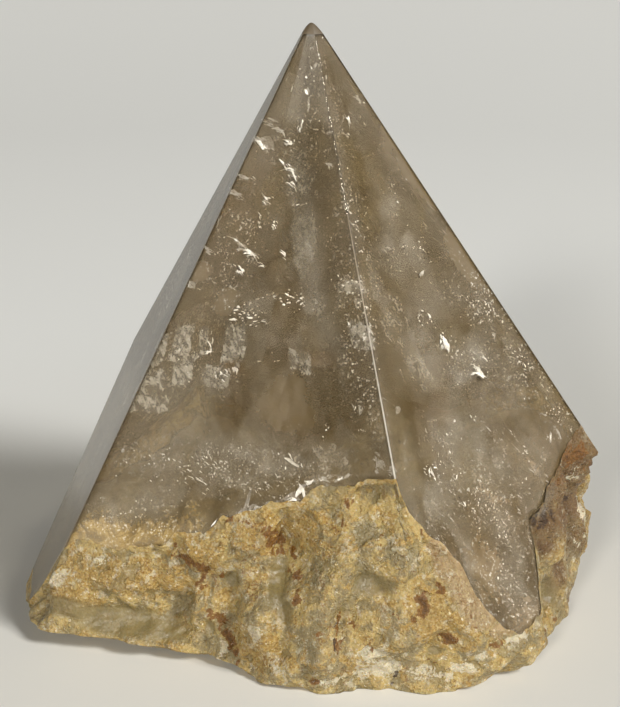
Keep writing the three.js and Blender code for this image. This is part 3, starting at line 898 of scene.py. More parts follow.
def make_clear_quartz(looks):
    """Polished, slightly smoky quartz: glass with absorption, and faint polish marks."""
    material, tree = new_material("clear_quartz")
    polish = use_group(tree, "Polish marks", Roughness=looks.polish_roughness, Wear=0.04)
    bands = spread(tree, noise(tree, own_place(tree), 18.0, 3.0), 0.35, 0.65)
    tint = mix_colour(tree, bands, (0.99, 0.985, 0.97), (0.97, 0.95, 0.92))
    glass = glossy(tree, Base_Color=tint, Roughness=polish["Roughness"], IOR=QUARTZ_IOR,
                   Transmission_Weight=1.0, Normal=bumps(tree, polish["Height"], 0.03, 0.05))
    lamp_light = add(tree, "BsdfTransparent", Color=(0.74, 0.72, 0.66, 1)).outputs[0]
    shadow_ray = add(tree, "LightPath").outputs["Is Shadow Ray"]
    smoke = add(tree, "VolumeAbsorption", Color=opaque(looks.smoke_colour), Density=looks.smoke_density)
    return finished(material, mix_shaders(tree, shadow_ray, glass, lamp_light), Volume=smoke.outputs[0])


def make_worn_ridge(looks):
    """The rubbed line along a ridge: frosted quartz, with a painted highlight where it catches the light."""
    material, tree = new_material("worn_ridge")
    nicks = spread(tree, noise(tree, own_place(tree), 1.6, 4.0), 0.35, 0.65)
    # painted highlight: the near-white laid where 'rubbed' is high stands in for light caught on the worn
    # ridge
    shine = times(tree, attribute(tree, "rubbed"), spread(tree, nicks, 0.0, 1.0, 0.6, 1.0))
    colour = mix_colour(tree, shine, looks.ridge_colour, (0.9, 0.87, 0.8))
    rough = spread(tree, nicks, 0.0, 1.0, 0.35, 0.6)
    return finished(material, glossy(
        tree, Base_Color=colour, Roughness=rough, IOR=QUARTZ_IOR, Transmission_Weight=0.55,
        Normal=bumps(tree, nicks, 0.4, 0.1)))


def skin_colours(tree, looks, place, mottle, glassy, brown, tone):
    """Colours of the skin from outside and from inside the crystal."""
    stains = {}
    for name, spread_by, size in (("ochre", 0.36, 1.3), ("rust", 0.03, 0.8), ("dark", -0.05, 0.6),
                                  ("white", 0.1, 0.45)):
        stains[name] = use_group(tree, "Iron stain", Place=attribute(tree, name), Spread=spread_by, Size=size)
    ochre, rust, deep, pale = stains["ochre"]["Mask"], stains["rust"], stains["dark"], stains["white"]
    rough_part = maths(tree, "SUBTRACT", 1.0, times(tree, glassy, 0.85))
    rough_part = times(tree, rough_part, spread(tree, brown, 0.0, 1.0, 1.0, 0.4))
    crust = times(tree, plus(tree, times(tree, ochre, 0.65), 0.35), rough_part)
    # the ground: mottled, yellow, glassy, brown and hazy parts
    colour = mix_colour(tree, spread(tree, mottle, 0.44, 0.56), looks.skin_colour, looks.skin_pale)
    colour = lay(tree, colour, looks.ochre_colour, ochre, 0.85)
    colour = lay(tree, colour, looks.hollow_colour, glassy, 0.85)
    colour = lay(tree, colour, looks.brown_colour, brown, spread(tree, mottle, 0.3, 0.6, 0.6, 1.0))
    hazy = spread(tree, plus(tree, attribute(tree, "hazy"), times(tree, mottle, 0.6)), 0.55, 0.85)
    colour = mix_colour(tree, hazy, colour, looks.hazy_colour)
    inner = mix_colour(tree, 0.7, colour, looks.inner_colour)
    # thin rusty veins, crushed quartz, light and dark grains, and painted sparkle highlights
    veins = maths(tree, "ABSOLUTE", maths(tree, "SUBTRACT", noise(tree, place, 3.4, 4.0), 0.5))
    broken_up = spread(tree, noise(tree, place, 6.0, 3.0), 0.5, 0.62)
    veins = times(tree, spread(tree, veins, 0.022, 0.004), broken_up, rough_part, 0.7)
    colour = mix_colour(tree, veins, colour, looks.rust_colour)
    colour = lay(tree, colour, looks.white_colour, pale["Mask"], 0.85)
    light = times(tree, spread(tree, tone, 0.6, 0.9), times(tree, crust, 0.5))
    colour = mix_colour(tree, light, colour, looks.crust_light)
    sugar = times(tree, spread(tree, noise(tree, place, 1.5, 5.0, 0.72), 0.54, 0.62), rough_part)
    colour = lay(tree, colour, looks.white_colour, sugar, 0.6)
    # painted sparkle: the rarest grain tones are laid pale yellow-white as highlights
    spark = times(tree, spread(tree, tone, 0.96, 0.99), spread(tree, mottle, 0.45, 0.6), rough_part)
    colour = lay(tree, colour, (0.9, 0.82, 0.62), spark, 0.7)
    shadow = times(tree, spread(tree, tone, 0.36, 0.12), times(tree, crust, 0.4))
    colour = mix_colour(tree, shadow, colour, looks.crust_dark)
    # iron stains on top, then dark patches in the hollows and cracks
    colour = lay(tree, colour, looks.rust_colour, rust["Mask"], 0.9)
    colour = lay(tree, colour, looks.dark_colour, rust["Depth"], 0.5)
    return lay(tree, colour, looks.dark_colour, deep["Mask"], 0.85), inner


def make_skin(looks):
    """Broken natural skin: sugary pale grain, yellow and rust stains, glassy hollows."""
    material, tree = new_material("broken_skin")
    place = own_place(tree)
    mottle = noise(tree, place, 4.2, 6.0, 0.66)
    waxy = spread(tree, noise(tree, place, 3.4, 4.0, 0.6), 0.55, 0.6, 0.0, 0.75)
    glassy = largest(tree, spread(tree, attribute(tree, "glassy"), 0.2, 0.7), waxy)
    brown = spread(tree, attribute(tree, "brown"), 0.0, 0.6)
    grain = use_group(tree, "Broken grain", Size=0.95, Smoothness=times(tree, glassy, 0.8), Sparkle=1.0)
    colour, inner = skin_colours(tree, looks, place, mottle, glassy, brown, grain["Tone"])
    rough = spread(tree, grain["Faces"], 0.0, 1.0, 0.6, 0.22)
    rough = largest(tree, maths(tree, "SUBTRACT", rough, times(tree, glassy, 0.2), clamp=True), 0.2)
    outside = glossy(
        tree, Base_Color=colour, Roughness=rough, IOR=QUARTZ_IOR, Subsurface_Weight=0.5,
        Subsurface_Radius=(1.0, 0.7, 0.35), Subsurface_Scale=1.6 * MM,
        Normal=bumps(tree, grain["Height"], 1.0, 0.8, Normal=grain["Normal"]))
    lining = glossy(tree, Base_Color=inner, Roughness=0.6, Normal=bumps(tree, mottle, 0.3, 0.5))
    glow = add(tree, "BsdfTranslucent", Color=inner).outputs[0]
    lit_through = mix_shaders(tree, 0.4, lining, glow)
    inside = add(tree, "NewGeometry").outputs["Backfacing"]
    return finished(material, mix_shaders(tree, inside, outside, lit_through))


# ---- what lies inside the crystal ----------------------------------------------------------------

# Healed cracks: thin curved veils. Each row: centre x, y, z, the azimuth it faces, half width,
# half height, roll, how far it bows, then how cloudy, speckled and streaked it is.
VEILS = [
    # the clouded neck under the tip
    (0.4, -4.1, 85, 263, 2.5, 7.6, 0, 0.5, 0.35, 0.7, 0.3),
    (-1.6, -4, 83.1, 263, 2, 5.6, -12, 0.5, 0.5, 0.3, 0.2),
    (3.1, -4.7, 83.9, 283, 1.6, 4, 14, 0.5, 0.3, 0.5, 0.3),
    (1.8, -7.6, 77.3, 262, 2.6, 2.6, -35, 0.8, 0.25, 0.2, 0.9),
    (4.9, -4.6, 81.6, 282, 3, 1.6, -20, 0.6, 0.3, 0.4, 0.8),
    (7.6, -4.1, 79.2, 282, 2.3, 2.6, 35, 0.6, 0.25, 0.2, 0.8),
    # the pale sheet beside the middle line
    (-0.7, -11.4, 65.2, 263, 2.6, 7.9, 0, 0.4, 0.75, 0.15, 0.15),
    (1.2, -16.3, 54.8, 262, 3, 6.6, 4, 0.5, 0.5, 0.4, 0.2),
    (-1.6, -8.1, 72.7, 263, 2.3, 3.3, -30, 0.8, 0.2, 0.3, 0.9),
    # the sparkling band left of the front ridge
    (4.9, -13.2, 67.2, 262, 2, 7.2, -6, 0.4, 0.15, 0.9, 0.1),
    (5.6, -17.7, 56.8, 262, 2.3, 7.2, -6, 0.4, 0.25, 1, 0.2),
    (6.2, -21.3, 48.5, 262, 2.3, 5.6, -6, 0.5, 0.2, 0.9, 0.2),
    (4.4, -16.2, 59.5, 262, 1.6, 1.6, 0, 0.5, 0.7, 0.9, 0),
    # clouds behind the right-hand facet
    (11.2, -8.6, 67.6, 281, 2.6, 2.6, -30, 1, 0.55, 0.25, 0.1),
    (12.6, -10.5, 62.9, 281, 4, 4.3, -35, 1, 0.6, 0.4, 0.1),
    (11, -12.7, 61.2, 281, 4.3, 4.9, 0, 1, 0.5, 0.6, 0.1),
    (9.8, -18.1, 54.5, 282, 3.3, 6.9, -16, 0.8, 0.85, 0.1, 0.1),
    (14.8, -15, 53, 281, 4, 4.9, -40, 0.8, 0.55, 0.3, 0.2),
    (15, -18.9, 46.3, 281, 6.6, 4.9, -10, 1, 0.75, 0.25, 0.2),
    (25.6, -6.8, 53.5, 279, 4, 5.3, -25, 1, 0.35, 0.9, 0.3),
    (23.2, -13.4, 46.1, 280, 4.9, 3.6, -30, 0.8, 0.6, 0.6, 0.5),
    (32.2, -8.2, 44, 279, 4, 4.3, -35, 0.8, 0.35, 0.8, 0.5),
    (37.9, -7, 39.3, 278, 2.3, 2, -30, 0.5, 0.6, 0.3, 0.3),
    # the milky lower right
    (19.2, -22.4, 35.9, 280, 5.6, 4.3, -20, 1.2, 0.7, 0.4, 0.3),
    (25.7, -21.2, 30.5, 279, 6.6, 7.2, -25, 1.2, 0.75, 0.45, 0.3),
    (16.7, -29.1, 29, 281, 4.3, 4, -30, 0.8, 0.55, 0.6, 0.2),
    (32.5, -15.6, 31.5, 278, 4.3, 4.6, -30, 1, 0.55, 0.5, 0.4),
    (28.7, -25.4, 20.7, 279, 4.3, 6.6, -25, 0.8, 0.55, 0.7, 0.3),
    (22.1, -30.9, 20, 280, 3, 5.6, -30, 0.6, 0.6, 0.6, 0.2),
    (30.1, -29.2, 13.3, 279, 2.6, 3.6, -30, 0.5, 0.55, 0.8, 0.2),
    (35.4, -17.4, 25.5, 278, 3.6, 4, -20, 0.8, 0.6, 0.4, 0.3),
    (12.2, -27.7, 36.5, 281, 3.3, 4.6, -10, 0.8, 0.4, 0.6, 0.4),
    # low on the front facet
    (-14, -15.7, 42.7, 265, 3, 3, -30, 0.4, 0.55, 0.8, 0.5),
    (-8, -12.6, 55.2, 264, 4.9, 3, -8, 0.8, 0.3, 0.9, 0.4),
    (-1.5, -16.6, 50.9, 263, 5.6, 3.6, 0, 0.8, 0.45, 0.3, 0.1),
    # the hazy fringe above the stained foot
    (-20.3, -17.9, 31.7, 266, 8.6, 3.6, -8, 1, 0.65, 0.6, 0.7),
    (-8.5, -20.8, 35.4, 264, 8.2, 2.6, -8, 0.8, 0.6, 0.4, 0.4),
    (-10.8, -22.3, 30.2, 264, 8.2, 4.3, -10, 1, 0.7, 0.8, 0.8),
    (-0.1, -25.2, 33.1, 262, 5.6, 3.6, -6, 0.8, 0.6, 0.7, 0.6),
    (-30, -18.2, 22.5, 267, 5.6, 3.3, -10, 0.8, 0.5, 0.3, 0.3),
    (-21.8, -20.5, 24.4, 266, 7.6, 3.6, -8, 0.8, 0.6, 0.5, 0.4),
    (7.4, -26.2, 37.5, 261, 3.3, 4.9, 0, 0.6, 0.45, 0.8, 0.5),
]

# Thin iron-stained films in cracks, in the same form.
FILMS = [
    # the warm edge of the left-hand ridge
    (-9.1, -4.6, 74.7, 264, 2, 5.6, -24, 0.4, 0.75, 0.1, 0.1),
    (-11.2, -6.8, 67.3, 264, 2, 4.9, -26, 0.4, 0.7, 0.1, 0.1),
    (-9.4, -2.4, 76.3, 234, 1, 1.6, -26, 0.3, 0.8, 0.2, 0.1),
    # tan films in cracks
    (-11.5, -15.7, 45.3, 264, 1.8, 1.2, 0, 0.2, 0.95, 0.1, 0),
    (1.6, -19.5, 48.2, 262, 2.1, 1.3, 0, 0.2, 0.9, 0.1, 0),
    (39.9, -7.5, 36.2, 278, 2.6, 1.6, -55, 0.4, 0.8, 0.2, 0.2),
]

# Little fractures painted near-white as glints. Each row: centre x, y, z, half width and half height of the
# cluster, the lean of its long side, how many, their length, and how many times longer than wide.
GLINTS = [
    # the neck
    (0.3, -1.6, 92.4, 0.8, 0.2, 0, 6, 0.8, 3), (-0.5, -3.8, 86.2, 0.4, 0.5, 0, 8, 1, 2),
    (-0.3, -4.7, 84.2, 0.2, 1.3, 6, 10, 1.2, 3), (-1.8, -5.6, 80.3, 0.3, 1.5, 25, 10, 1.3, 3),
    (-2.8, -2.7, 86.6, 0.2, 0.8, 5, 5, 0.9, 3), (3.4, -3.6, 86.3, 0.4, 0.8, -20, 7, 0.9, 3),
    (6.8, -2.1, 84.7, 0.5, 1.5, -55, 12, 0.8, 2), (1.1, -3.1, 89.1, 2.3, 3.6, 0, 34, 0.5, 2),
    (5, -5.1, 81.7, 0.8, 0.7, -10, 8, 1.1, 3), (5.6, -4.9, 81.3, 0.2, 0.6, 0, 3, 1.3, 3),
    (5.2, -6.3, 79.7, 0.5, 0.8, -50, 8, 0.7, 2), (0.2, -6, 81, 0.3, 1, -70, 6, 0.8, 3),
    # beside the left-hand ridge
    (-7.1, -4.7, 78, 0.8, 0.7, -40, 18, 2.4, 1.3), (-6.6, -3.4, 81.3, 0.7, 1.5, -58, 9, 2.2, 4),
    (-5.1, -4.4, 80.3, 0.7, 1, -52, 7, 1.9, 3), (-3.2, -5.8, 78.5, 0.5, 0.7, -45, 9, 1.4, 2),
    (-8.7, -3.7, 78.2, 0.2, 0.3, 0, 5, 0.8, 2), (-3.8, -6.9, 75, 0.5, 1.2, -52, 7, 2.4, 5),
    (-2.6, -7.8, 74, 0.3, 0.8, -48, 7, 1.4, 4), (-10.5, -5.4, 73, 0.3, 0.8, -60, 9, 1.3, 4),
    (-8.8, -6, 72.8, 0.5, 0.7, -45, 7, 1.3, 3), (-11.8, -5.8, 70.7, 0.3, 1, -50, 7, 2.4, 5),
    (-11, -6.4, 69.9, 0.3, 0.7, -50, 5, 1.4, 3), (-6.7, -7.9, 70.1, 0.6, 1, -45, 13, 1.4, 3),
    (-7.8, -8.8, 66.7, 0.3, 1.6, 0, 16, 0.8, 3), (-11, -9.1, 63.4, 0.3, 1.2, -52, 7, 2.4, 5),
    (-8.9, -10.4, 62, 0.3, 1.2, -55, 7, 2.4, 5), (-15.9, -8, 61.9, 0.4, 0.7, -50, 9, 1.5, 3),
    (-18.2, -9.2, 56.6, 0.3, 0.8, -62, 11, 1.5, 3), (-10.9, -10.7, 59.2, 0.8, 1, -30, 11, 1.2, 3),
    (-7.5, -11.4, 60.5, 0.3, 1.2, -40, 7, 1.4, 4), (-5.5, -9.7, 66.4, 0.8, 0.7, 0, 11, 0.7, 2),
    (-3.9, -12.1, 62.1, 0.5, 1, -35, 7, 1.2, 4), (-2.9, -8.3, 72.5, 0.3, 0.8, -50, 7, 1.2, 4),
    (-13.8, -6.4, 67.5, 0.2, 1.6, 24, 7, 1.4, 6), (-12.6, 7.4, 74.6, 0.3, 1.6, 24, 9, 1, 4),
    (-16.8, 2.2, 65.1, 0.2, 1.5, 24, 9, 0.8, 6), (-19.3, 0.1, 59.5, 0.2, 1.5, 24, 9, 0.9, 6),
    (-22.8, -3.5, 51.7, 0.3, 1.5, 24, 9, 0.8, 5), (-26.4, -5.1, 44.2, 0.3, 1.5, 24, 9, 0.8, 5),
    (-29.5, -8.3, 37.2, 0.3, 1.5, 24, 7, 0.8, 5), (-32.7, -10.8, 30.2, 0.3, 1.5, 24, 7, 0.7, 5),
    # fine chains by the front ridge
    (-1.2, -10, 69.8, 0.2, 1.5, 90, 6, 1.2, 6), (2.8, -9.2, 75.6, 0.5, 0.8, -60, 7, 1, 2),
    (0.3, -11.3, 68.2, 0.2, 0.8, 0, 5, 0.5, 2), (5.1, -12.5, 70.2, 0.7, 2.3, -8, 16, 0.5, 1.5),
    (5.7, -13.9, 67.3, 0.3, 1, -5, 8, 0.5, 1.5), (5.1, -16.8, 59.7, 1.5, 1.2, 0, 22, 0.7, 2),
    (6.2, -20, 52.8, 1.3, 2.3, 0, 26, 0.6, 2), (6.9, -18.5, 57.2, 0.5, 0.3, 0, 4, 0.9, 2),
    (2.9, -13.8, 64.3, 2, 4.9, 0, 30, 0.3, 1.5), (8.2, -12, 67.4, 0.3, 4.9, -4, 12, 0.3, 1.5),
    # shards behind the right-hand facet
    (20.2, -14.4, 49, 0.8, 1.8, -10, 16, 1.3, 2), (25.4, -13.6, 44.2, 1.3, 2.1, -58, 16, 1.4, 3),
    (26.3, -13.5, 43.3, 0.7, 0.8, -55, 6, 1.5, 1.8), (31.4, -8.4, 45.4, 0.8, 1.5, -60, 11, 1.5, 3),
    (34.8, -7.7, 42.6, 0.5, 1, -25, 7, 1.1, 3), (28.7, -8.5, 48.3, 0.5, 0.7, -20, 5, 0.9, 2),
    (27.3, -11.4, 45.4, 0.5, 0.7, -45, 5, 0.8, 2), (17.1, -14.1, 52.8, 1.2, 1.5, -40, 14, 0.7, 2),
    (12.8, -24.3, 41.9, 0.5, 0.3, 0, 4, 1, 1.5), (6.9, -24.7, 42.1, 0.8, 0.7, 0, 9, 1, 2),
    (8.8, -26.2, 39.9, 2, 2.3, 0, 18, 0.6, 2), (10.2, -28.8, 35.1, 0.7, 1.5, -5, 10, 1, 2),
    (26.5, -6.7, 53.5, 2.6, 3.3, -25, 44, 0.4, 1.5), (15, -9.4, 62.3, 4.9, 4.3, -30, 50, 0.3, 1.5),
    (12, -6.4, 71.1, 3, 1.6, -30, 16, 0.3, 1.5), (33.1, -8.5, 43.2, 3, 3, -35, 26, 0.5, 2),
    # the lower right
    (23, -26.2, 27.1, 0.8, 0.7, -30, 4, 0.8, 2), (23.7, -24.7, 28.7, 0.3, 0.3, 0, 2, 0.7, 1.5),
    (25.1, -26, 25, 0.2, 1, -8, 2, 1, 5), (29.3, -25, 21.7, 1, 1, -10, 4, 0.6, 2),
    (33.5, -15.7, 31.6, 0.7, 0.7, -35, 8, 1, 2), (39.5, -10.7, 32.5, 0.3, 1.2, -5, 6, 1.3, 4),
    (37.5, -12.2, 32.3, 0.8, 0.8, 0, 7, 0.7, 3), (33.3, -18.1, 27.9, 1, 0.5, 0, 4, 0.5, 2),
    (17.5, -26.7, 32.5, 1.6, 1, -40, 16, 0.6, 2), (30.2, -28.8, 14.6, 0.5, 0.5, 0, 3, 0.6, 1.5),
    (28.1, -29.4, 16.3, 0.8, 0.3, 0, 3, 0.5, 1.5), (28.7, -26.2, 20.2, 4, 5.6, -25, 22, 0.3, 1.5),
    (19.3, -23.6, 34.8, 6.6, 4.9, -20, 50, 0.3, 1.5), (31.5, -15.6, 33.8, 0.5, 0.8, -25, 4, 0.9, 4),
    (25.1, -17.7, 37.7, 0.7, 0.7, -30, 5, 0.7, 3), (34.2, -29.1, 9.5, 0.3, 0.8, -30, 2, 0.6, 3),
    # low on the front facet
    (-9.3, -13.8, 53.1, 2.3, 4, -80, 44, 0.6, 1.8), (-2.1, -15.4, 56.1, 1.6, 4.3, -80, 44, 0.5, 1.8),
    (5.1, -16.9, 59.5, 1.3, 1, 0, 16, 0.5, 1.5), (6.4, -20, 53.1, 1.3, 2, 0, 22, 0.5, 1.5),
    (-15.3, -13.3, 48.9, 0.2, 2, 6, 7, 1.5, 6), (-11.8, -16.1, 45.2, 0.5, 0.3, 0, 4, 1, 2),
    (-6.5, -17.4, 47, 0.1, 3.3, 90, 4, 1.5, 16), (-13.7, -15.9, 43.7, 2, 1.3, -40, 16, 0.7, 2),
    (-15.6, -13.9, 47.3, 0.2, 1.3, 90, 4, 0.8, 4), (-19.7, -19.6, 29.9, 1.3, 2.6, -50, 10, 1.1, 9),
    (-15.2, -20.5, 31.8, 1.3, 1.5, -42, 8, 1.5, 9), (-16.6, -21.3, 28.6, 1.6, 2, -48, 8, 1.5, 9),
    (-23.5, -17.7, 30.5, 3, 2, -20, 22, 0.4, 2), (-29.6, -15.2, 31.4, 0.1, 0.1, 0, 1, 1.5, 1.2),
    (2.9, -24.4, 38.4, 1.6, 1.6, 0, 10, 0.3, 1.5), (-10.8, -22.4, 31.1, 7.2, 3.3, -10, 54, 0.4, 2.5),
    (-1.7, -25.4, 32.4, 4.9, 2.3, -8, 26, 0.5, 2.5), (-7.4, -24.6, 29, 2, 1, -30, 12, 0.9, 4),
    (-2.9, -24.2, 33.8, 0.5, 1, -30, 4, 0.9, 4),
    # the bright fringe along the end of the polish
    (1.8, -27.2, 31.7, 0.2, 2.8, 78, 34, 1.1, 2.6), (-2.1, -26.8, 29.2, 0.5, 1.5, 66, 8, 1.5, 1.4),
    (-1.2, -26.9, 29.7, 0.8, 0.7, 40, 5, 1.5, 1.6), (-5.9, -26.2, 27, 0.3, 3.3, 74, 44, 1.1, 2),
    (-9.3, -25.6, 25.4, 0.3, 2.6, 70, 30, 1, 1.8), (-13.6, -24.8, 23.3, 0.8, 2.3, 60, 26, 1.2, 2.2),
    (-10.1, -25.3, 25.4, 0.5, 2, 60, 18, 1.4, 2), (11.9, -30.2, 33.9, 0.5, 0.5, 0, 10, 1, 1.5),
    (10.2, -28.9, 35.1, 0.8, 1.2, -10, 12, 1.1, 1.6), (5, -28.2, 32.4, 0.3, 1.6, 75, 18, 1.1, 2),
    (-17.4, -24.5, 20.6, 1, 1, 40, 12, 1, 2),
]

# How the cloud that fills the crystal changes from place to place. Each row: azimuth, height,
# half width, half height and strength, as for the stains.
MILK = [  # pale milky patches
    # the first three rows, on the narrow left facet, lighten it partly as painted reflection of the pale
    # surroundings
    (162.6, 63.7, 1.5, 9.9, 0.3), (187.9, 44.2, 1.6, 11.5, 0.4), (190.8, 27, 1.6, 9.9, 0.6),
    (258.4, 72, 5.6, 6.6, 0.6), (277.4, 35, 5.6, 2.6, 0.8), (282.5, 84.6, 2.6, 7.6, 0.35),
    (265.5, 64.4, 2.5, 7.6, 0.9), (274.9, 54.1, 2.6, 5.9, 0.6), (278.3, 60.1, 1.6, 9.9, 0.4),
    (301.8, 60.4, 2.6, 4.3, 0.7), (305.9, 53.1, 4.3, 5.6, 0.85), (310.8, 46, 5.6, 4.9, 0.75),
    (327, 67.4, 2.6, 1.6, 0.6), (320.1, 61.9, 4, 4, 0.5), (312.6, 35.3, 5.6, 4.3, 0.65),
    (322.5, 29.8, 7.2, 6.6, 0.75), (300.8, 28.3, 4.6, 4.6, 0.65), (319.4, 19.3, 4.9, 6.6, 0.45),
    (336.7, 30.8, 4.3, 4.3, 0.55), (306, 17.2, 3.6, 4.9, 0.5), (319.2, 11.3, 3.3, 4, 0.5),
    (219.5, 31.2, 9.2, 3.3, 0.6), (246.9, 34.9, 8.2, 2, 0.45), (242.9, 29.8, 9.9, 3.6, 0.65),
    (270.2, 32.5, 7.2, 3.3, 0.7), (209.4, 21.6, 6.6, 3.3, 0.5), (219.8, 23.6, 8.2, 3.6, 0.55),
    (204.4, 46.5, 1.3, 2.3, 0.85), (210.5, 48.1, 1.2, 2.5, 0.95), (229.1, 48.5, 1.8, 3.1, 0.6),
    (206.3, 42.3, 1.8, 1.3, 0.9), (214.2, 43.4, 1.2, 2, 0.7), (206.8, 39, 3.3, 1.3, 0.9),
    (226.3, 42.2, 3, 2.6, 0.45), (265.3, 46.8, 2.1, 1.6, 0.5), (20, 24, 9, 8, 0.7),
    (48, 40, 6, 12, 0.6), (75, 30, 8, 6, 0.7), (100, 50, 5, 12, 0.6), (128, 22, 9, 6, 0.7),
    (150, 44, 6, 10, 0.6), (172, 30, 6, 10, 0.5), (60, 66, 4, 10, 0.6), (140, 70, 4, 9, 0.6),
]
WINDOWS = [  # sharp-edged pale patches
    (204.1, 46.8, 1.3, 2.3, 1), (210.5, 48.1, 1, 2.6, 1), (216.7, 48.4, 0.5, 2.3, 0.9),
    (229.1, 48.5, 1.8, 3, 0.9), (213.7, 44, 1.2, 2.3, 1), (206.3, 42.3, 2, 1.5, 1),
    (206.8, 39, 3.3, 1.5, 1), (225.3, 43.3, 2.3, 1.6, 0.8), (265.3, 47, 1.8, 1.6, 0.6),
    (290.3, 58.9, 1.6, 1, 0.8), (290.3, 52.2, 1.6, 2, 0.8), (44, 34, 4, 4, 0.8), (86, 52, 3, 6, 0.8),
    (136, 40, 5, 4, 0.8), (166, 30, 4, 5, 0.7),
]
GRAINS = [  # sparkling grains
    (162.6, 63.7, 1.5, 9.9, 0.6), (187.9, 44.2, 1.6, 11.5, 0.6), (190.8, 27, 1.6, 9.9, 0.5),
    (282.5, 84.6, 4, 8.2, 0.5), (294.5, 66.4, 2.1, 7.6, 0.8), (290.6, 56.3, 2.1, 7.6, 1),
    (288.4, 47.3, 2.1, 5.9, 0.9), (289.8, 58.9, 1.6, 1.5, 1), (290.3, 52.2, 1.6, 2, 0.9),
    (253.8, 77, 4.9, 5.9, 0.35), (218.9, 61.9, 3.3, 8.2, 0.6), (347.7, 52.9, 4.3, 5.3, 0.9),
    (332.3, 45.4, 4.9, 4, 0.7), (348.2, 43.3, 4.3, 4.3, 0.8), (210.5, 46.3, 5.9, 4.9, 0.35),
    (229.1, 48.5, 2.3, 4, 0.3), (242.6, 30.3, 18.1, 4.3, 0.8), (217.1, 21.1, 9.9, 4, 0.6),
    (315, 13.5, 7.2, 8.2, 0.6), (318.4, 26, 9.9, 9.9, 0.65), (349.1, 36.7, 4.3, 4.9, 0.8),
    (298.1, 20.5, 3.3, 6.6, 0.7), (12, 40, 8, 14, 0.8), (66, 22, 12, 8, 0.8), (95, 70, 5, 12, 0.8),
    (118, 36, 8, 10, 0.7), (160, 24, 10, 8, 0.8), (176, 52, 5, 16, 0.6),
]
SCRATCHES = [  # crossing scratches
    (162.6, 63.7, 1.5, 9.9, 1), (187.9, 44.2, 1.6, 11.5, 1), (190.8, 27, 1.6, 9.9, 1),
    (287.3, 76.9, 3.3, 3.3, 1), (257.4, 73.4, 4, 3.6, 0.8), (325.3, 81.1, 3.3, 2, 0.9),
    (339.4, 78.7, 2.6, 2.6, 0.9), (226.3, 42.2, 4, 3.6, 0.6), (238.7, 30.1, 14.8, 3.6, 0.75),
    (332.3, 45.4, 5.6, 4.3, 0.6), (287, 37, 3.3, 4.6, 0.5), (338.6, 62.1, 6.6, 4.9, 0.4),
    (322.6, 19.5, 6, 9, 1), (203.9, 40, 4, 3.3, 0.5), (217.1, 64.8, 2.3, 9.9, 0.7),
    (311, 25, 6, 8, 0.8), (330, 30, 5, 7, 0.7), (40, 52, 8, 12, 0.8), (88, 40, 8, 10, 0.7),
    (132, 54, 6, 12, 0.8), (168, 40, 6, 12, 0.6),
]
WARM = [  # warm iron tint
    (199.8, 62.9, 2.3, 8.2, 0.9), (202.8, 50.7, 2.3, 8.2, 0.6), (205, 38.5, 2, 8.2, 0.5),
    (195, 76.5, 1.8, 4.3, 0.85), (204.5, 68.3, 2.1, 5.6, 0.9), (208.5, 60.4, 2, 4.6, 0.6),
    (208.5, 54.1, 2, 4.9, 0.35), (231.8, 44.8, 1.6, 1, 0.95), (275.6, 47.7, 2, 1.2, 0.85),
    (351.6, 35.5, 2.6, 1.6, 0.8), (315.4, 39, 1.2, 1.2, 0.9), (315.9, 49.5, 0.8, 0.8, 0.7),
    (303.4, 41.8, 0.8, 0.8, 0.5), (316.5, 17.6, 9.9, 13.2, 0.45), (340.9, 26.9, 4, 9.9, 0.7),
    (308.9, 27.2, 4.9, 6.6, 0.4), (30, 18, 8, 6, 0.5), (90, 22, 8, 5, 0.5), (122, 60, 4, 9, 0.5),
    (155, 18, 8, 5, 0.5),
]
CALM = [  # even, quiet parts
    (261.2, 40.9, 8.2, 6.3, 1), (359.2, 65.5, 4.3, 9.2, 1), (6.8, 75.5, 4, 8.2, 1),
    (17.6, 84.8, 2.3, 5.6, 0.7), (357.9, 52.3, 4, 7.2, 0.6), (220.2, 54.5, 3, 4, 0.9),
    (207.2, 58.3, 2.3, 3, 0.9), (354.8, 72.9, 5.9, 11.5, 1), (349.7, 59.9, 4.3, 8.2, 1),
    (1.5, 45.9, 4.9, 9.9, 0.6), (55, 30, 8, 10, 0.6), (110, 30, 8, 10, 0.6), (150, 60, 6, 10, 0.6),
]

PALE = [  # smooth pale parts
    (256.2, 74.8, 1.5, 5.6, 0.4), (264.4, 69.1, 1.6, 5.6, 0.48), (268.9, 63.5, 1.6, 5.6, 0.5),
    # the four rows at azimuth 185 lighten the narrow left facet: painted reflection of the pale surroundings
    (273, 57.9, 1.6, 5.6, 0.48), (276.9, 53.3, 2, 4.9, 0.43), (185, 16, 13, 10, 0.9),
    (185, 36, 10, 10, 0.9), (185, 55, 6.5, 10, 0.9), (185, 73, 3.5, 9, 0.9),
]


# ---- the flaws inside: meshes ------------------------------------------------------------------

CLOUD_COLUMNS = 400
CLOUD_ROWS = 104
CLOUD_SKIRT = 10  # rows of it that hang behind the broken skin
CLOUD_HANG = 4.5  # how far down these reach
CLOUD_DEPTH = (0.25, 2.0)  # the cloud lies between these depths behind the polished planes
CLOUD_TOP = 1.6  # it ends this far below the tip
CLOUD_CLEARANCE = 0.2  # it comes no closer to the polished planes than this
PLANE_LEAN = 0.87  # level distance from a leaning plane is its depth divided by this
CORNER_WEIGHTS = bump(np.arange(-1, 2), 0, 0.5)  # each point is evened out with its two neighbours
CORNER_WEIGHTS /= CORNER_WEIGHTS.sum()
INNER_TILT = 21  # veils and fractures lean back this many degrees, as seen from inside
SHEET_CELLS = 22
SHEET_MARGIN = 1.35  # a sheet fades out before its edge, so it is made this much wider
CLEARANCE = 0.4  # veils come no closer to the polished planes than this
SHEET_SPACING = 7.3  # sets the patterns of neighbouring sheets apart
SHARD_CLEARANCE = 0.15
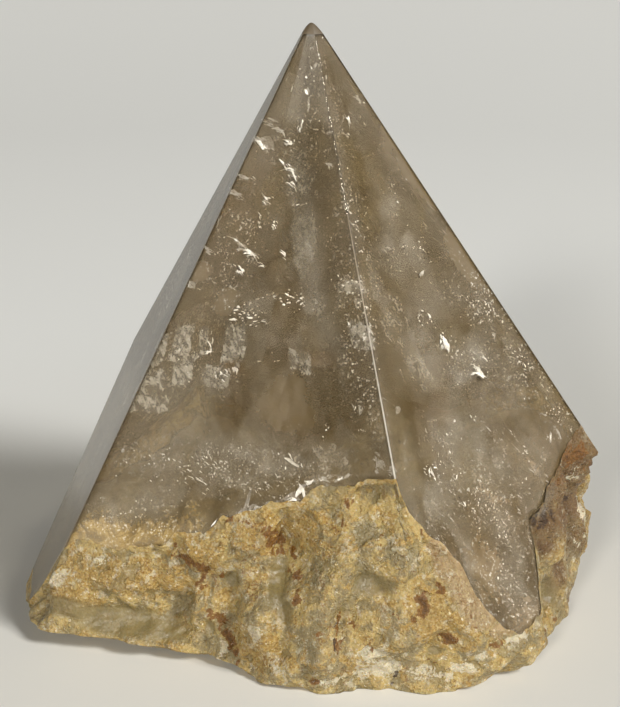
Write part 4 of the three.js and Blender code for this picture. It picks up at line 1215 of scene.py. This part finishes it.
SHARD_AZIMUTH = 272  # clusters of fractures face this way
SHARD_SIDES = 9


def keep_inside(points, clearance):
    """Moves points that would come too close to a polished plane straight back from it."""
    points = np.array(points, dtype=float)
    for normal, reach in zip(FACETS, REACH):
        over = points @ normal - (reach - clearance)
        points -= np.outer(np.maximum(over, 0), normal)
    return points


def cloud_sheet():
    """A wavy sheet a little behind the polished planes, open at the foot and under the tip."""
    azimuth = np.arange(CLOUD_COLUMNS) * 360 / CLOUD_COLUMNS
    line = grind_height(azimuth)
    ring = np.stack([*circle(azimuth, polished_radius(azimuth, line)), line], 1)
    wall = np.array(foot_rows(azimuth, ring, 40))
    wall_radius, wall_height = np.hypot(wall[:, :, 0], wall[:, :, 1]), wall[:, :, 2]
    foot = np.maximum(line - CLOUD_HANG, 1.0)
    top = CRYSTAL_HEIGHT - CLOUD_TOP
    low, high = CLOUD_DEPTH
    points, faces, near = [], [], []
    for j in range(-CLOUD_SKIRT, CLOUD_ROWS + 1):
        if j < 0:
            z = line + (line - foot) * j / CLOUD_SKIRT
        else:
            z = line + (top - line) * j / CLOUD_ROWS
        radius = polished_radius(azimuth, z)
        wide = np.concatenate([radius[-1:], radius, radius[:1]])
        rounded = np.convolve(wide, CORNER_WEIGHTS, "valid")
        x, y = circle(azimuth, radius)
        wave = 0.75 + 0.25 * np.clip(swells(z, x, y, 11.0) + 0.3 * swells(y, z, x, 3.0), -1, 1)
        gaps = np.sort(np.array(REACH) - np.stack([x, y, z], 1) @ np.array(FACETS).T, axis=1)
        wave = wave * smooth(gaps[:, 1], 0.4, 7) * smooth(z - line, 0, 6)
        depth = np.minimum(low + (high - low) * wave, 0.2 * rounded + 0.25) / PLANE_LEAN
        radius = np.maximum(rounded - depth, 0.2)
        if j < 0:
            skin = [np.interp(z[i], wall_height[:, i], wall_radius[:, i]) for i in range(CLOUD_COLUMNS)]
            radius = np.minimum(radius, np.array(skin) - 0.3 + 0.6 * j / CLOUD_SKIRT)
        first = len(points)
        points.extend(keep_inside(np.stack([*circle(azimuth, radius), z], 1), CLOUD_CLEARANCE))
        near.extend(np.stack([z - foot, z - line, top - z], 1))
        if j > -CLOUD_SKIRT:
            below = first - CLOUD_COLUMNS
            for i in range(CLOUD_COLUMNS):
                k = (i + 1) % CLOUD_COLUMNS
                faces.append((below + i, below + k, first + k, first + i))
    return np.array(points), faces, np.array(near)


def sheet_frame(azimuth, tilt, roll):
    """Right, up and facing directions of something that faces this azimuth from inside."""
    a, t, r = math.radians(azimuth), math.radians(tilt), math.radians(roll)
    facing = np.array([math.cos(a) * math.cos(t), math.sin(a) * math.cos(t), math.sin(t)])
    right = unit(np.cross([0, 0, 1], facing))
    up = np.cross(facing, right)
    return right * math.cos(r) - up * math.sin(r), up * math.cos(r) + right * math.sin(r), facing


def add_sheets(rows):
    """Points, faces and per-point values for a list of thin curved sheets."""
    points, faces, values = [], [], []
    steps = np.linspace(-1, 1, SHEET_CELLS + 1)
    u, v = [grid.ravel() for grid in np.meshgrid(steps, steps)]
    for index, (x, y, z, azimuth, half_width, half_height, roll, bow, *shares) in enumerate(rows):
        # each sheet leans and turns a little differently
        lean = INNER_TILT + 14 * math.sin(2.3 * index)
        turn = azimuth + 16 * math.sin(1.3 * index + 0.6)
        right, up, facing = sheet_frame(turn, lean, roll)
        right_mm, up_mm = u * half_width * SHEET_MARGIN, v * half_height * SHEET_MARGIN
        ripple = 0.35 * bow * swells(right_mm + 9 * index, up_mm, 0.3 * right_mm, 5.0)
        depth = -bow * (u ** 2 + 0.6 * v ** 2) + ripple
        flat = np.array([x, y, z]) + np.outer(right_mm, right) + np.outer(up_mm, up)
        first = len(points)
        points.extend(keep_inside(flat + np.outer(depth, facing), CLEARANCE))
        wobble = 0.22 * swells(u * 3 + index, v * 3, u * 2, 3.0)
        edge = smooth(1 - np.hypot(u, v) + wobble, 0.0, 0.55)
        apart = np.full(len(u), index * SHEET_SPACING)
        values.extend(np.stack([*(share * edge for share in shares), right_mm, up_mm, apart], 1))
        row = SHEET_CELLS + 1
        for j in range(SHEET_CELLS):
            for a in range(first + j * row, first + j * row + SHEET_CELLS):
                faces.append((a, a + 1, a + row + 1, a + row))
    return np.array(points), faces, np.array(values)


def add_shards(rows, seed):
    """Points, faces and dullness of small bent lens-shaped fractures in clusters."""
    random = np.random.default_rng(seed)
    points, faces, dull = [], [], []
    turns = np.arange(SHARD_SIDES) * 2 * math.pi / SHARD_SIDES
    for x, y, z, half_width, half_height, roll, count, length, slimness in rows:
        right, up, facing = sheet_frame(SHARD_AZIMUTH, INNER_TILT, roll)
        spin = 17 if slimness < 8 else 3
        for _ in range(count):
            a, b = random.normal(0, 0.5, 2)
            centre = np.array([x, y, z]) + right * a * half_width + up * b * half_height
            centre = centre - facing * random.uniform(0, 0.8)
            half = length * random.lognormal(-0.45, 0.6) / 2
            lean = roll + random.normal(0, spin)
            turn = SHARD_AZIMUTH + 18 + random.normal(0, 1.3 * spin)
            side, along, out = sheet_frame(turn, INNER_TILT + 12 + random.normal(0, spin), lean)
            thin = max(half / (slimness * random.uniform(0.9, 2.2)), 0.04)
            bow = half * random.uniform(0.15, 0.6)
            reach = random.uniform(0.3, 1.3, SHARD_SIDES)
            p, q = np.cos(turns) * thin * reach, np.sin(turns) * half * reach
            rim = centre + np.outer(p, side) + np.outer(q, along)
            rim = rim - np.outer(bow * (q / half) ** 2, out)
            thickness = 0.03 * min(half, 1.0) + 0.01
            placed = list(rim) + [centre + out * thickness, centre - out * thickness]
            first = len(points)
            points.extend(keep_inside(placed, SHARD_CLEARANCE))
            dull.extend([0.8 * random.uniform(0, 1) ** 3] * len(placed))
            for k in range(SHARD_SIDES):
                m = (k + 1) % SHARD_SIDES
                faces.append((first + k, first + m, first + SHARD_SIDES))
                faces.append((first + m, first + k, first + SHARD_SIDES + 1))
    return np.array(points), faces, dull


# ---- the flaws inside: materials ---------------------------------------------------------------

def make_veil(name, colour, looks):
    """A healed crack: see-through, with cloudy, speckled and streaked parts."""
    material, tree = new_material(name)
    place = vector_maths(tree, "SCALE", attribute(tree, "sheet", "Vector"), MM)
    soft = noise(tree, place, 3.6, 6.0, 0.62, 0.4)
    fine = noise(tree, place, 0.55, 1.0, 0.6)
    patches = noise(tree, place, 1.9, 4.0, 0.6)
    drawn_out = add(tree, "Mapping", Vector=place, Scale=(1.0, 0.12, 1.0))
    lines = noise(tree, drawn_out.outputs["Vector"], 0.35, 3.0, 0.6)
    haze = times(tree, attribute(tree, "cloud"), spread(tree, soft, 0.3, 0.72, 0.12, 0.9))
    grains = times(tree, spread(tree, fine, 0.55, 0.66), spread(tree, patches, 0.4, 0.62))
    grains = times(tree, grains, attribute(tree, "speckle"), 0.9)
    streaks = times(tree, spread(tree, lines, 0.6, 0.72), spread(tree, patches, 0.5, 0.7))
    streaks = times(tree, streaks, attribute(tree, "streak"))
    alpha = largest(tree, times(tree, haze, looks.veil_density), grains)
    alpha = maths(tree, "MAXIMUM", alpha, streaks, clamp=True)
    tint = mix_colour(tree, spread(tree, soft, 0.35, 0.65), colour, [min(1.0, c * 1.25) for c in colour])
    return finished(material, glossy(
        tree, Base_Color=tint, Alpha=alpha, Roughness=0.35, IOR=QUARTZ_IOR,
        Normal=bumps(tree, patches, 0.4, 0.3)))


def fine_lines(tree, place, lean, size, length):
    """Noise drawn out into short lines that lean by this angle, in degrees from level."""
    return noise(tree, stretched(tree, place, lean, (length, 1, 1)), size, 2.0, 0.5)


def milky_patches(tree, milk, soft, fine, ragged):
    """Soft clouds, with ragged flakes that have sharp edges."""
    cloudy = spread(tree, plus(tree, milk, soft), 0.72, 1.35)
    flakes = spread(tree, plus(tree, times(tree, milk, 0.8), ragged), 0.95, 1.02)
    flakes = times(tree, flakes, spread(tree, fine, 0.38, 0.6, 0.25, 1.0))
    both = maths(tree, "ADD", times(tree, cloudy, 0.5), times(tree, flakes, 0.6), clamp=True)
    return times(tree, both, spread(tree, ragged, 0.4, 0.6, 0.6, 1.0))


def scratches(tree, place, lively):
    """Scratches in three directions, broken up."""
    falling = spread(tree, fine_lines(tree, place, 42, 0.3, 9.0), 0.63, 0.73)
    rising = spread(tree, fine_lines(tree, place, -28, 0.28, 7.0), 0.68, 0.78)
    steep = spread(tree, fine_lines(tree, place, 63, 0.4, 8.0), 0.63, 0.75)
    lines = largest(tree, falling, rising, times(tree, steep, 0.8))
    lines = times(tree, lines, spread(tree, noise(tree, place, 1.7, 3.0), 0.46, 0.6))
    where = plus(tree, attribute(tree, "scratches"), times(tree, lively, 0.25))
    return maths(tree, "MULTIPLY", lines, where, clamp=True)


def points_of_light(tree, place, grains, soft, lively):
    """Small bright points, painted sparkle highlights laid as colour, more of them where the grains are."""
    point = spread(tree, cells(tree, place, 0.42), 0.36, 0.2)
    tones = cell_tones(tree, place, 0.42)
    chosen = plus(tree, tones["Red"], times(tree, grains, 0.3), times(tree, soft, 0.3))
    strength = spread(tree, tones["Green"], 0.0, 1.0, 0.35, 1.0)
    specks = times(tree, point, spread(tree, chosen, 1.12, 1.22), strength)
    return times(tree, specks, plus(tree, times(tree, lively, 0.7), 0.3))


def haze_ground(tree, looks, broad, planes, calm):
    """The khaki ground of the cloud, with flat-toned inner break planes and quiet parts."""
    colour = mix_colour(tree, spread(tree, broad, 0.35, 0.65), looks.haze_colour, looks.haze_dark)
    for tone, low, high, most, over in (
            ("Red", 0.3, 0.7, 0.5, looks.haze_dark), ("Green", 0.6, 0.8, 0.3, looks.veil_colour),
            ("Blue", 0.65, 0.8, 0.25, looks.film_colour)):
        colour = mix_colour(tree, spread(tree, planes[tone], low, high, 0.0, most), colour, over)
    return lay(tree, colour, looks.haze_dark, calm, 0.9)


def pale_windows(tree, panes, ragged):
    """Where small sharp-edged inner break planes catch the light."""
    where = plus(tree, attribute(tree, "windows"), times(tree, panes["Green"], 0.5),
                 times(tree, ragged, 0.5))
    return times(tree, spread(tree, where, 0.9, 1.0), spread(tree, ragged, 0.42, 0.6, 0.35, 1.0))


def grainy_crust(tree, looks, soft, mixed):
    """Yellow and pale grains of the crust that lines the foot."""
    colour = mix_colour(tree, spread(tree, soft, 0.4, 0.6), looks.haze_colour, looks.skin_pale)
    return mix_colour(tree, spread(tree, mixed, 0.52, 0.42, 0.0, 0.4), colour, looks.ochre_colour)


def make_cloud(looks):
    """Cloudy quartz: khaki haze, milky patches, sparkling grains, scratches and iron tint."""
    material, tree = new_material("inner_cloud")
    place = own_place(tree)
    haze, grains = attribute(tree, "haze"), attribute(tree, "grains")
    broad = noise(tree, place, 8.0, 5.0, 0.6)
    soft = noise(tree, place, 2.4, 4.0, 0.68, 0.6)
    fine = noise(tree, place, 0.45, 1.0, 0.7)
    mixed = noise(tree, place, 0.5, 1.5, 0.8)
    ragged = noise(tree, stretched(tree, place, 58, (2.2, 1, 1)), 1.0, 3.0, 0.8, 0.4)
    calm = spread(tree, plus(tree, attribute(tree, "calm"), times(tree, broad, 1.2)), 0.8, 1.5)
    lively = maths(tree, "SUBTRACT", 1.0, calm, clamp=True)
    # cells drawn out upwards stand for break planes, large and small
    upright = stretched(tree, place, 6, (1, 1, 3))
    planes = cell_tones(tree, upright, 4.5)
    panes = cell_tones(tree, upright, 1.5)
    milk = times(tree, attribute(tree, "milk"), spread(tree, panes["Red"], 0.3, 0.5, 0.7, 1.1))
    milky = milky_patches(tree, milk, soft, fine, ragged)
    bright = largest(tree, scratches(tree, place, lively),
                     points_of_light(tree, place, grains, soft, lively))
    # haze, warm tint, milk and pale break planes
    colour = haze_ground(tree, looks, broad, planes, calm)
    tinted = times(tree, attribute(tree, "warm"), spread(tree, soft, 0.3, 0.6))
    colour = mix_colour(tree, tinted, colour, looks.film_colour)
    colour = lay(tree, colour, looks.veil_colour, milky, 0.9)
    # pale parts; on the narrow left facet this is painted reflection
    colour = mix_colour(tree, attribute(tree, "pale"), colour, looks.window_colour)
    window = pale_windows(tree, panes, ragged)
    colour = mix_colour(tree, window, colour, looks.window_colour)
    # grainy yellow crust and tan mist near the broken skin
    edge = plus(tree, attribute(tree, "crust"), plus(tree, times(tree, soft, 0.5), times(tree, ragged, 0.8)))
    edge = spread(tree, edge, 0.85, 1.5)
    colour = lay(tree, colour, grainy_crust(tree, looks, soft, mixed), edge, 0.7)
    mist = spread(tree, plus(tree, attribute(tree, "mist"), times(tree, soft, 0.6)), 0.55, 1.3)
    colour = lay(tree, colour, looks.hazy_colour, mist, 0.4)
    # the grainy parts are a tight mix of dark pits and pale flecks; the flecks are painted sparkle
    busy = maths(tree, "MULTIPLY", times(tree, grains, 1.4), spread(tree, soft, 0.42, 0.55), clamp=True)
    pits = times(tree, spread(tree, mixed, 0.45, 0.36), busy)
    flecks = times(tree, spread(tree, mixed, 0.57, 0.66), busy)
    colour = lay(tree, colour, looks.depth_colour, pits, 0.65)
    bright = largest(tree, bright, times(tree, flecks, 0.9))
    # painted highlights: the scratch lines, points of light and flecks are laid in the near-white glint
    # colour as sparkle
    colour = lay(tree, colour, looks.fracture_glint_colour, bright, 0.95)
    # how much it hides
    alpha = times(tree, haze, spread(tree, broad, 0.3, 0.7, 0.75, 1.0), looks.haze_density)
    alpha = largest(
        tree, alpha, times(tree, milky, 0.8), times(tree, tinted, 0.8),
        times(tree, largest(tree, calm, window), 0.9), times(tree, largest(tree, edge, mist), 0.95),
        times(tree, largest(tree, bright, pits), 0.95))
    alpha = maths(tree, "MULTIPLY", alpha, spread(tree, haze, 0.0, 0.3), clamp=True)
    return finished(material, glossy(
        tree, Base_Color=colour, Alpha=alpha, Roughness=0.5, IOR=QUARTZ_IOR,
        Normal=bumps(tree, soft, 0.3, 0.6)))


def make_fracture(looks):
    """A fresh inner fracture: a satiny face, painted near-white as a glint of reflected light."""
    material, tree = new_material("glinting_fracture")
    tone = spread(tree, noise(tree, own_place(tree), 0.5, 3.0), 0.3, 0.7)
    colour = mix_colour(tree, tone, looks.fracture_glint_colour, (0.98, 0.97, 0.94))
    colour = mix_colour(tree, attribute(tree, "dull"), colour, looks.veil_colour)
    return finished(material, glossy(
        tree, Base_Color=colour, Roughness=spread(tree, tone, 0.0, 1.0, 0.2, 0.45), IOR=2.2,
        Normal=bumps(tree, tone, 0.3, 0.1)))


# ---- objects -----------------------------------------------------------------------------------

def link(name, data):
    """An object with this name and data, in the scene."""
    thing = bpy.data.objects.new(name, data)
    bpy.context.scene.collection.objects.link(thing)
    return thing


def make_object(name, points, faces, smooth_flags=True):
    """A mesh object from points in millimetres."""
    mesh = bpy.data.meshes.new(name)
    mesh.from_pydata([tuple(p) for p in np.asarray(points) * MM], [], faces)
    flags = smooth_flags if isinstance(smooth_flags, list) else [smooth_flags] * len(faces)
    mesh.polygons.foreach_set("use_smooth", flags)
    mesh.update()
    return link(name, mesh)


def dress(thing, *materials):
    for material in materials:
        thing.data.materials.append(material)
    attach(thing, BODY)
    return thing


def paint(thing, name, values, kind="FLOAT", field="value"):
    """Gives each point of a mesh a number or a vector under this name."""
    layer = thing.data.attributes.new(name, kind, "POINT")
    layer.data.foreach_set(field, np.asarray(values, dtype=np.float32).ravel())


def build_sheets(name, rows, material):
    points, faces, values = add_sheets(rows)
    thing = make_object(name, points, faces)
    for column, label in enumerate(("cloud", "speckle", "streak")):
        paint(thing, label, values[:, column])
    paint(thing, "sheet", values[:, 3:], "FLOAT_VECTOR", "vector")
    return dress(thing, material)


# ---- properties --------------------------------------------------------------------------------

def colour_property(name, description, default):
    return FloatVectorProperty(
        name=name, description=description, subtype="COLOR", size=3, min=0, max=1, default=default)


class QuartzSizes(bpy.types.PropertyGroup):
    """Sizes of the crystal's finer geometry"""

    ridge_width: FloatProperty(
        name="Ridge wear", description="How far the worn ridges reach on to each facet",
        default=RIDGE_WIDTH * MM, min=0.02 * MM, max=1.5 * MM, unit="LENGTH", precision=5)
    columns: IntProperty(
        name="Columns", description="Columns of faces round the broken foot",
        default=560, min=120, max=900)
    rows: IntProperty(
        name="Rows", description="Rows of faces up the broken foot",
        default=84, min=16, max=160)


class QuartzLooks(bpy.types.PropertyGroup):
    """Colours and finish of the crystal"""

    smoke_colour: colour_property(
        "Smoke colour", "Colour that the clear quartz lets through", (0.6, 0.52, 0.38))
    smoke_density: FloatProperty(
        name="Smoke density", description="How strongly the clear quartz absorbs light, per metre",
        default=5.0, min=0, max=200)
    polish_roughness: FloatProperty(
        name="Polish roughness", description="Roughness of the polished facets",
        default=0.0, min=0, max=0.5)
    skin_colour: colour_property("Skin colour", "Main colour of the broken skin", (0.3, 0.235, 0.115))
    skin_pale: colour_property("Pale skin", "Paler patches of the skin", (0.52, 0.38, 0.145))
    ochre_colour: colour_property("Ochre stain", "Yellow iron stain", (0.42, 0.265, 0.068))
    rust_colour: colour_property("Rust stain", "Red-brown iron stain", (0.2, 0.085, 0.012))
    hazy_colour: colour_property(
        "Hazy skin", "Pinkish haze where the skin thins out beside the polish", (0.4, 0.285, 0.145))
    brown_colour: colour_property(
        "Brown wash", "Brown see-through stain at the broken end", (0.14, 0.075, 0.025))
    dark_colour: colour_property("Dark stain", "Colour at the bottom of cracks", (0.04, 0.018, 0.007))
    crust_light: colour_property("Light grains", "Bright grains of the yellow crust", (0.6, 0.48, 0.24))
    crust_dark: colour_property("Dark grains", "Dark grains of the yellow crust", (0.17, 0.1, 0.03))
    white_colour: colour_property("White crumbs", "Crushed white quartz", (0.66, 0.59, 0.43))
    hollow_colour: colour_property("Glassy hollows", "Smooth shell-shaped breaks", (0.18, 0.14, 0.058))
    inner_colour: colour_property(
        "Inner skin", "The skin as it shows from inside the crystal", (0.45, 0.385, 0.275))
    haze_colour: colour_property(
        "Haze colour", "Colour of the cloud inside the crystal", (0.236, 0.172, 0.076))
    haze_dark: colour_property("Deep haze", "Darker parts of the cloud", (0.12, 0.079, 0.025))
    haze_density: FloatProperty(
        name="Haze density", description="How much the cloud hides what is behind it",
        default=0.6, min=0, max=1)
    veil_colour: colour_property("Veil colour", "Colour of the milky healed cracks", (0.31, 0.266, 0.196))
    window_colour: colour_property(
        "Window colour", "Colour of the small pale inner break planes", (0.335, 0.3, 0.237))
    depth_colour: colour_property(
        "Dark flecks", "Dark gaps between the sparkling grains", (0.045, 0.028, 0.012))
    veil_density: FloatProperty(
        name="Veil density", description="How much the milky veils hide what is behind them",
        default=0.6, min=0, max=1)
    film_colour: colour_property(
        "Film colour", "Colour of the iron-stained films in cracks", (0.165, 0.1, 0.031))
    ridge_colour: colour_property("Ridge colour", "Colour of the rubbed ridges", (0.22, 0.165, 0.1))
    # painted glint: this near-white stands in for light reflected by the inner fractures and sparkling grains
    fracture_glint_colour: colour_property(
        "Fracture colour", "Colour of the bright little fractures", (0.9, 0.87, 0.8))


class QuartzStage(bpy.types.PropertyGroup):
    """Floor, light and camera"""

    floor_colour: colour_property("Floor colour", "Colour of the plain floor", (0.745, 0.735, 0.685))
    # painted light: this paler tone stands in for light falling on the back of the floor and the sweep
    backdrop_colour_and_painted_light: colour_property(
        "Backdrop colour", "Colour of the floor where it sweeps up", (0.855, 0.86, 0.83))
    key_power: FloatProperty(
        name="Main light", description="Power of the main soft light",
        default=155.0, min=0, unit="POWER")
    fill_power: FloatProperty(
        name="Second light", description="Power of the weaker light from the front left",
        default=78.0, min=0, unit="POWER")
    sky_strength: FloatProperty(
        name="Sky", description="Strength of the even pale surroundings",
        default=0.045, min=0)


# ---- building the crystal ----------------------------------------------------------------------

STAIN_EDGE = (14, 28)  # stains of the foot begin between these distances from the axis
RAGGED_STAINS = {"rust": RUST, "dark": DARK, "white": WHITE}
PLAIN_STAINS = {"glassy": GLASSY, "ochre": OCHRE, "brown": BROWN, "hazy": HAZY, "rubbed": RUBBED_AND_HIGHLIT}
CLOUD_PARTS = {"pale": PALE, "milk": MILK, "grains": GRAINS, "scratches": SCRATCHES, "warm": WARM,
               "calm": CALM}
CRUST_RADIUS = 40  # the crust's half widths are measured this far from the axis
FRINGE = 9  # crust and mist fade out this far above the broken skin


class QUARTZ_OT_crystal(bpy.types.Operator):
    """Build the crystal: polished facets, worn ridges and tip, broken foot and flat cut"""

    bl_idname = "quartz.crystal"
    bl_label = "Build crystal"

    def execute(self, context):
        sizes = context.scene.quartz_sizes
        looks = context.scene.quartz_looks
        grid = crystal_grid(sizes.ridge_width / MM, sizes.columns, sizes.rows)
        crystal = make_object("crystal", grid.points, grid.faces, grid.smooth)
        crystal.data.polygons.foreach_set("material_index", grid.finish)
        points = np.array(grid.points)
        x, y, z = points.T
        azimuth, radius = polar(points)
        fade = smooth(radius, *STAIN_EDGE)
        ragged = (azimuth + 1.1 * swells(x, y, z, 1.9), radius, z + 0.6 * swells(y, z, x, 1.7))
        for stains, place in ((RAGGED_STAINS, ragged), (PLAIN_STAINS, (azimuth, radius, z))):
            for name, rows in stains.items():
                paint(crystal, name, fade * mask(rows, *place))
        make_grain_group()
        make_stain_group()
        make_polish_group()
        dress(crystal, make_clear_quartz(looks), make_skin(looks), make_worn_ridge(looks))
        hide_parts(NODE)
        return {"FINISHED"}


class QUARTZ_OT_cloud(bpy.types.Operator):
    """Build the cloud that fills the crystal"""

    bl_idname = "quartz.cloud"
    bl_label = "Build inner cloud"

    def execute(self, context):
        points, faces, near = cloud_sheet()
        above_foot, above_skin, below_top = near.T
        azimuth, radius = polar(points)
        z = points[:, 2]
        cloud = make_object("inner_cloud", points, faces)
        paint(cloud, "windows", blocks(WINDOWS, azimuth, radius, z))
        for name, rows in CLOUD_PARTS.items():
            paint(cloud, name, mask(rows, azimuth, radius, z))
        paint(cloud, "haze", smooth(above_foot, 0, 1.5) * smooth(below_top, 0, 1.0))
        fringe = 1 - smooth(above_skin, 0, FRINGE)
        paint(cloud, "crust", mask(CRUST, azimuth, CRUST_RADIUS, z) * fringe)
        paint(cloud, "mist", np.maximum(mask(MIST, azimuth, radius, z), 0.4 * fringe))
        dress(cloud, make_cloud(context.scene.quartz_looks))
        return {"FINISHED"}


class QUARTZ_OT_veils(bpy.types.Operator):
    """Build the milky healed cracks inside the crystal"""

    bl_idname = "quartz.veils"
    bl_label = "Build healed veils"

    def execute(self, context):
        looks = context.scene.quartz_looks
        build_sheets("healed_veils", VEILS, make_veil("healed_crack", looks.veil_colour, looks))
        return {"FINISHED"}


class QUARTZ_OT_films(bpy.types.Operator):
    """Build the thin iron-stained films inside the crystal"""

    bl_idname = "quartz.films"
    bl_label = "Build iron films"

    def execute(self, context):
        looks = context.scene.quartz_looks
        build_sheets("iron_films", FILMS, make_veil("iron_film", looks.film_colour, looks))
        return {"FINISHED"}


class QUARTZ_OT_glints(bpy.types.Operator):
    """Scatter the bright little fractures inside the crystal"""

    bl_idname = "quartz.glints"
    bl_label = "Scatter fracture glints"

    def execute(self, context):
        points, faces, dull = add_shards(GLINTS, 5)
        glints = make_object("fracture_glints", points, faces, False)
        paint(glints, "dull", dull)
        dress(glints, make_fracture(context.scene.quartz_looks))
        return {"FINISHED"}


# ---- the stage, in millimetres -----------------------------------------------------------------

FLAT_RADIUS = 450  # the floor is flat this far out, then sweeps up all round
FLOOR_DROP = -0.05  # it lies this far under the cut, so that the two faces don't coincide
SWEEP_LENGTH = 1750
SWEEP_RISE = 640
SWEEP_RINGS = 14
FLOOR_SIDES = 96
CAMERA_TARGET = (-0.2, 0, 42.386)
CAMERA_DISTANCE = 250
CAMERA_RISE = 18.5  # degrees above level
SENSOR_WIDTH = 36
FOCAL_LENGTH = SENSOR_WIDTH * 1518 / 707


def floor_shape():
    """Points and faces of a round floor that is flat in the middle."""
    rings = [(FLAT_RADIUS, FLOOR_DROP)]
    for k in range(1, SWEEP_RINGS + 1):
        share = k / SWEEP_RINGS
        rings.append((FLAT_RADIUS + SWEEP_LENGTH * share, FLOOR_DROP + SWEEP_RISE * share ** 1.8))
    points, faces = [], [tuple(range(FLOOR_SIDES))]
    for radius, height in rings:
        for k in range(FLOOR_SIDES):
            turn = 2 * math.pi * k / FLOOR_SIDES
            points.append((radius * math.cos(turn), radius * math.sin(turn), height))
    for ring in range(SWEEP_RINGS):
        for k in range(FLOOR_SIDES):
            a, b = ring * FLOOR_SIDES + k, ring * FLOOR_SIDES + (k + 1) % FLOOR_SIDES
            faces.append((b, a, a + FLOOR_SIDES, b + FLOOR_SIDES))
    return points, faces


def make_pale_floor(stage):
    """Plain paper, dark at its far rim, with painted light: paler towards the back left and where it sweeps
    up.
    """
    material, tree = new_material("pale_floor")
    place = own_place(tree)
    tone = spread(tree, noise(tree, place, 120.0, 3.0), 0.3, 0.7)
    lighter = [min(1.0, c * 1.02) for c in stage.floor_colour]
    colour = mix_colour(tree, tone, stage.floor_colour, lighter)
    split = add(tree, "SeparateXYZ", Vector=place).outputs
    slant = maths(tree, "SUBTRACT", split["Y"], times(tree, split["X"], 0.5))
    # painted light: the floor turns paler towards the back left and up the sweep, standing in for how the
    # lamps light it
    back = largest(tree, spread(tree, slant, 0.0, 200 * MM), spread(tree, split["Z"], 0.0, 30 * MM))
    colour = mix_colour(tree, back, colour, stage.backdrop_colour_and_painted_light)
    far_rim = spread(tree, split["Z"], 120 * MM, 460 * MM)
    colour = mix_colour(tree, far_rim, colour, (0.06, 0.058, 0.054))
    return finished(material, glossy(
        tree, Base_Color=colour, Roughness=0.7, Specular_IOR_Level=0.2,
        Normal=bumps(tree, noise(tree, place, 0.8, 3.0), 0.1, 0.05)))


def aim(thing, place, target):
    """Stands a light or camera at a place and points it at a target."""
    thing.location = Vector(place) * MM
    thing.rotation_euler = (Vector(target) - Vector(place)).to_track_quat("-Z", "Y").to_euler()


def soft_light(name, place, target_height, size, power, colour):
    lamp = bpy.data.lights.new(name, "AREA")
    lamp.shape = "RECTANGLE"
    lamp.size, lamp.size_y = size[0] * MM, size[1] * MM
    lamp.energy = power
    lamp.color = colour
    thing = link(name, lamp)
    aim(thing, place, (0, 0, target_height))
    thing.visible_camera = False


def pale_sky(strength):
    world = bpy.data.worlds.new("pale_sky")
    world.use_nodes = True
    background = world.node_tree.nodes["Background"]
    background.inputs["Color"].default_value = (1, 0.995, 0.98, 1)
    background.inputs["Strength"].default_value = strength
    return world


def front_camera():
    lens = bpy.data.cameras.new("camera")
    lens.sensor_width = SENSOR_WIDTH
    lens.lens = FOCAL_LENGTH
    lens.clip_start = 0.01
    camera = link("camera", lens)
    rise = math.radians(CAMERA_RISE)
    x, y, z = CAMERA_TARGET
    place = (x, y - CAMERA_DISTANCE * math.cos(rise), z + CAMERA_DISTANCE * math.sin(rise))
    aim(camera, place, CAMERA_TARGET)
    return camera


class QUARTZ_OT_stage(bpy.types.Operator):
    """Set up the pale floor, the soft lights, the sky and the camera"""

    bl_idname = "quartz.stage"
    bl_label = "Set up stage"

    def execute(self, context):
        stage = context.scene.quartz_stage
        floor = make_object("floor", *floor_shape())
        floor.data.materials.append(make_pale_floor(stage))
        soft_light("main_light", (2484, -1940, 2463), 20, (1050, 1000), stage.key_power, (1, 0.985, 0.96))
        soft_light("second_light", (-1274, -3500, 1460), 30, (620, 560), stage.fill_power, (1, 0.965, 0.91))
        context.scene.world = pale_sky(stage.sky_strength)
        context.scene.camera = front_camera()
        context.scene.view_settings.view_transform = "Standard"
        context.scene.cycles.max_bounces = 24
        context.scene.cycles.transmission_bounces = 20
        context.scene.cycles.glossy_bounces = 12
        context.scene.cycles.diffuse_bounces = 6
        context.scene.cycles.transparent_max_bounces = 32
        return {"FINISHED"}


# ---- panel and registration --------------------------------------------------------------------

class QUARTZ_PT_sidebar(bpy.types.Panel):
    """Sizes, colours and building steps of the quartz point"""

    bl_label = "Quartz point"
    bl_idname = "QUARTZ_PT_sidebar"
    bl_space_type = "VIEW_3D"
    bl_region_type = "UI"
    bl_category = "Quartz"

    def draw(self, context):
        layout = self.layout
        for group in (context.scene.quartz_sizes, context.scene.quartz_looks, context.scene.quartz_stage):
            box = layout.box()
            for name in group.__annotations__:
                box.prop(group, name)
        for operator in OPERATORS:
            layout.operator(operator.bl_idname)


GROUPS = {"quartz_sizes": QuartzSizes, "quartz_looks": QuartzLooks, "quartz_stage": QuartzStage}
OPERATORS = [QUARTZ_OT_crystal, QUARTZ_OT_cloud, QUARTZ_OT_veils, QUARTZ_OT_films,
             QUARTZ_OT_glints, QUARTZ_OT_stage]


def register():
    for group in GROUPS.values():
        bpy.utils.register_class(group)
    for name, group in GROUPS.items():
        setattr(bpy.types.Scene, name, PointerProperty(type=group))
    for operator in OPERATORS:
        bpy.utils.register_class(operator)
    bpy.utils.register_class(QUARTZ_PT_sidebar)


def unregister():
    bpy.utils.unregister_class(QUARTZ_PT_sidebar)
    for operator in reversed(OPERATORS):
        bpy.utils.unregister_class(operator)
    for name, group in GROUPS.items():
        delattr(bpy.types.Scene, name)
        bpy.utils.unregister_class(group)


def main():
    register()
    bpy.ops.quartz.crystal()
    bpy.ops.quartz.cloud()
    bpy.ops.quartz.veils()
    bpy.ops.quartz.films()
    bpy.ops.quartz.glints()
    bpy.ops.quartz.stage()


if __name__ == "__main__":
    main()
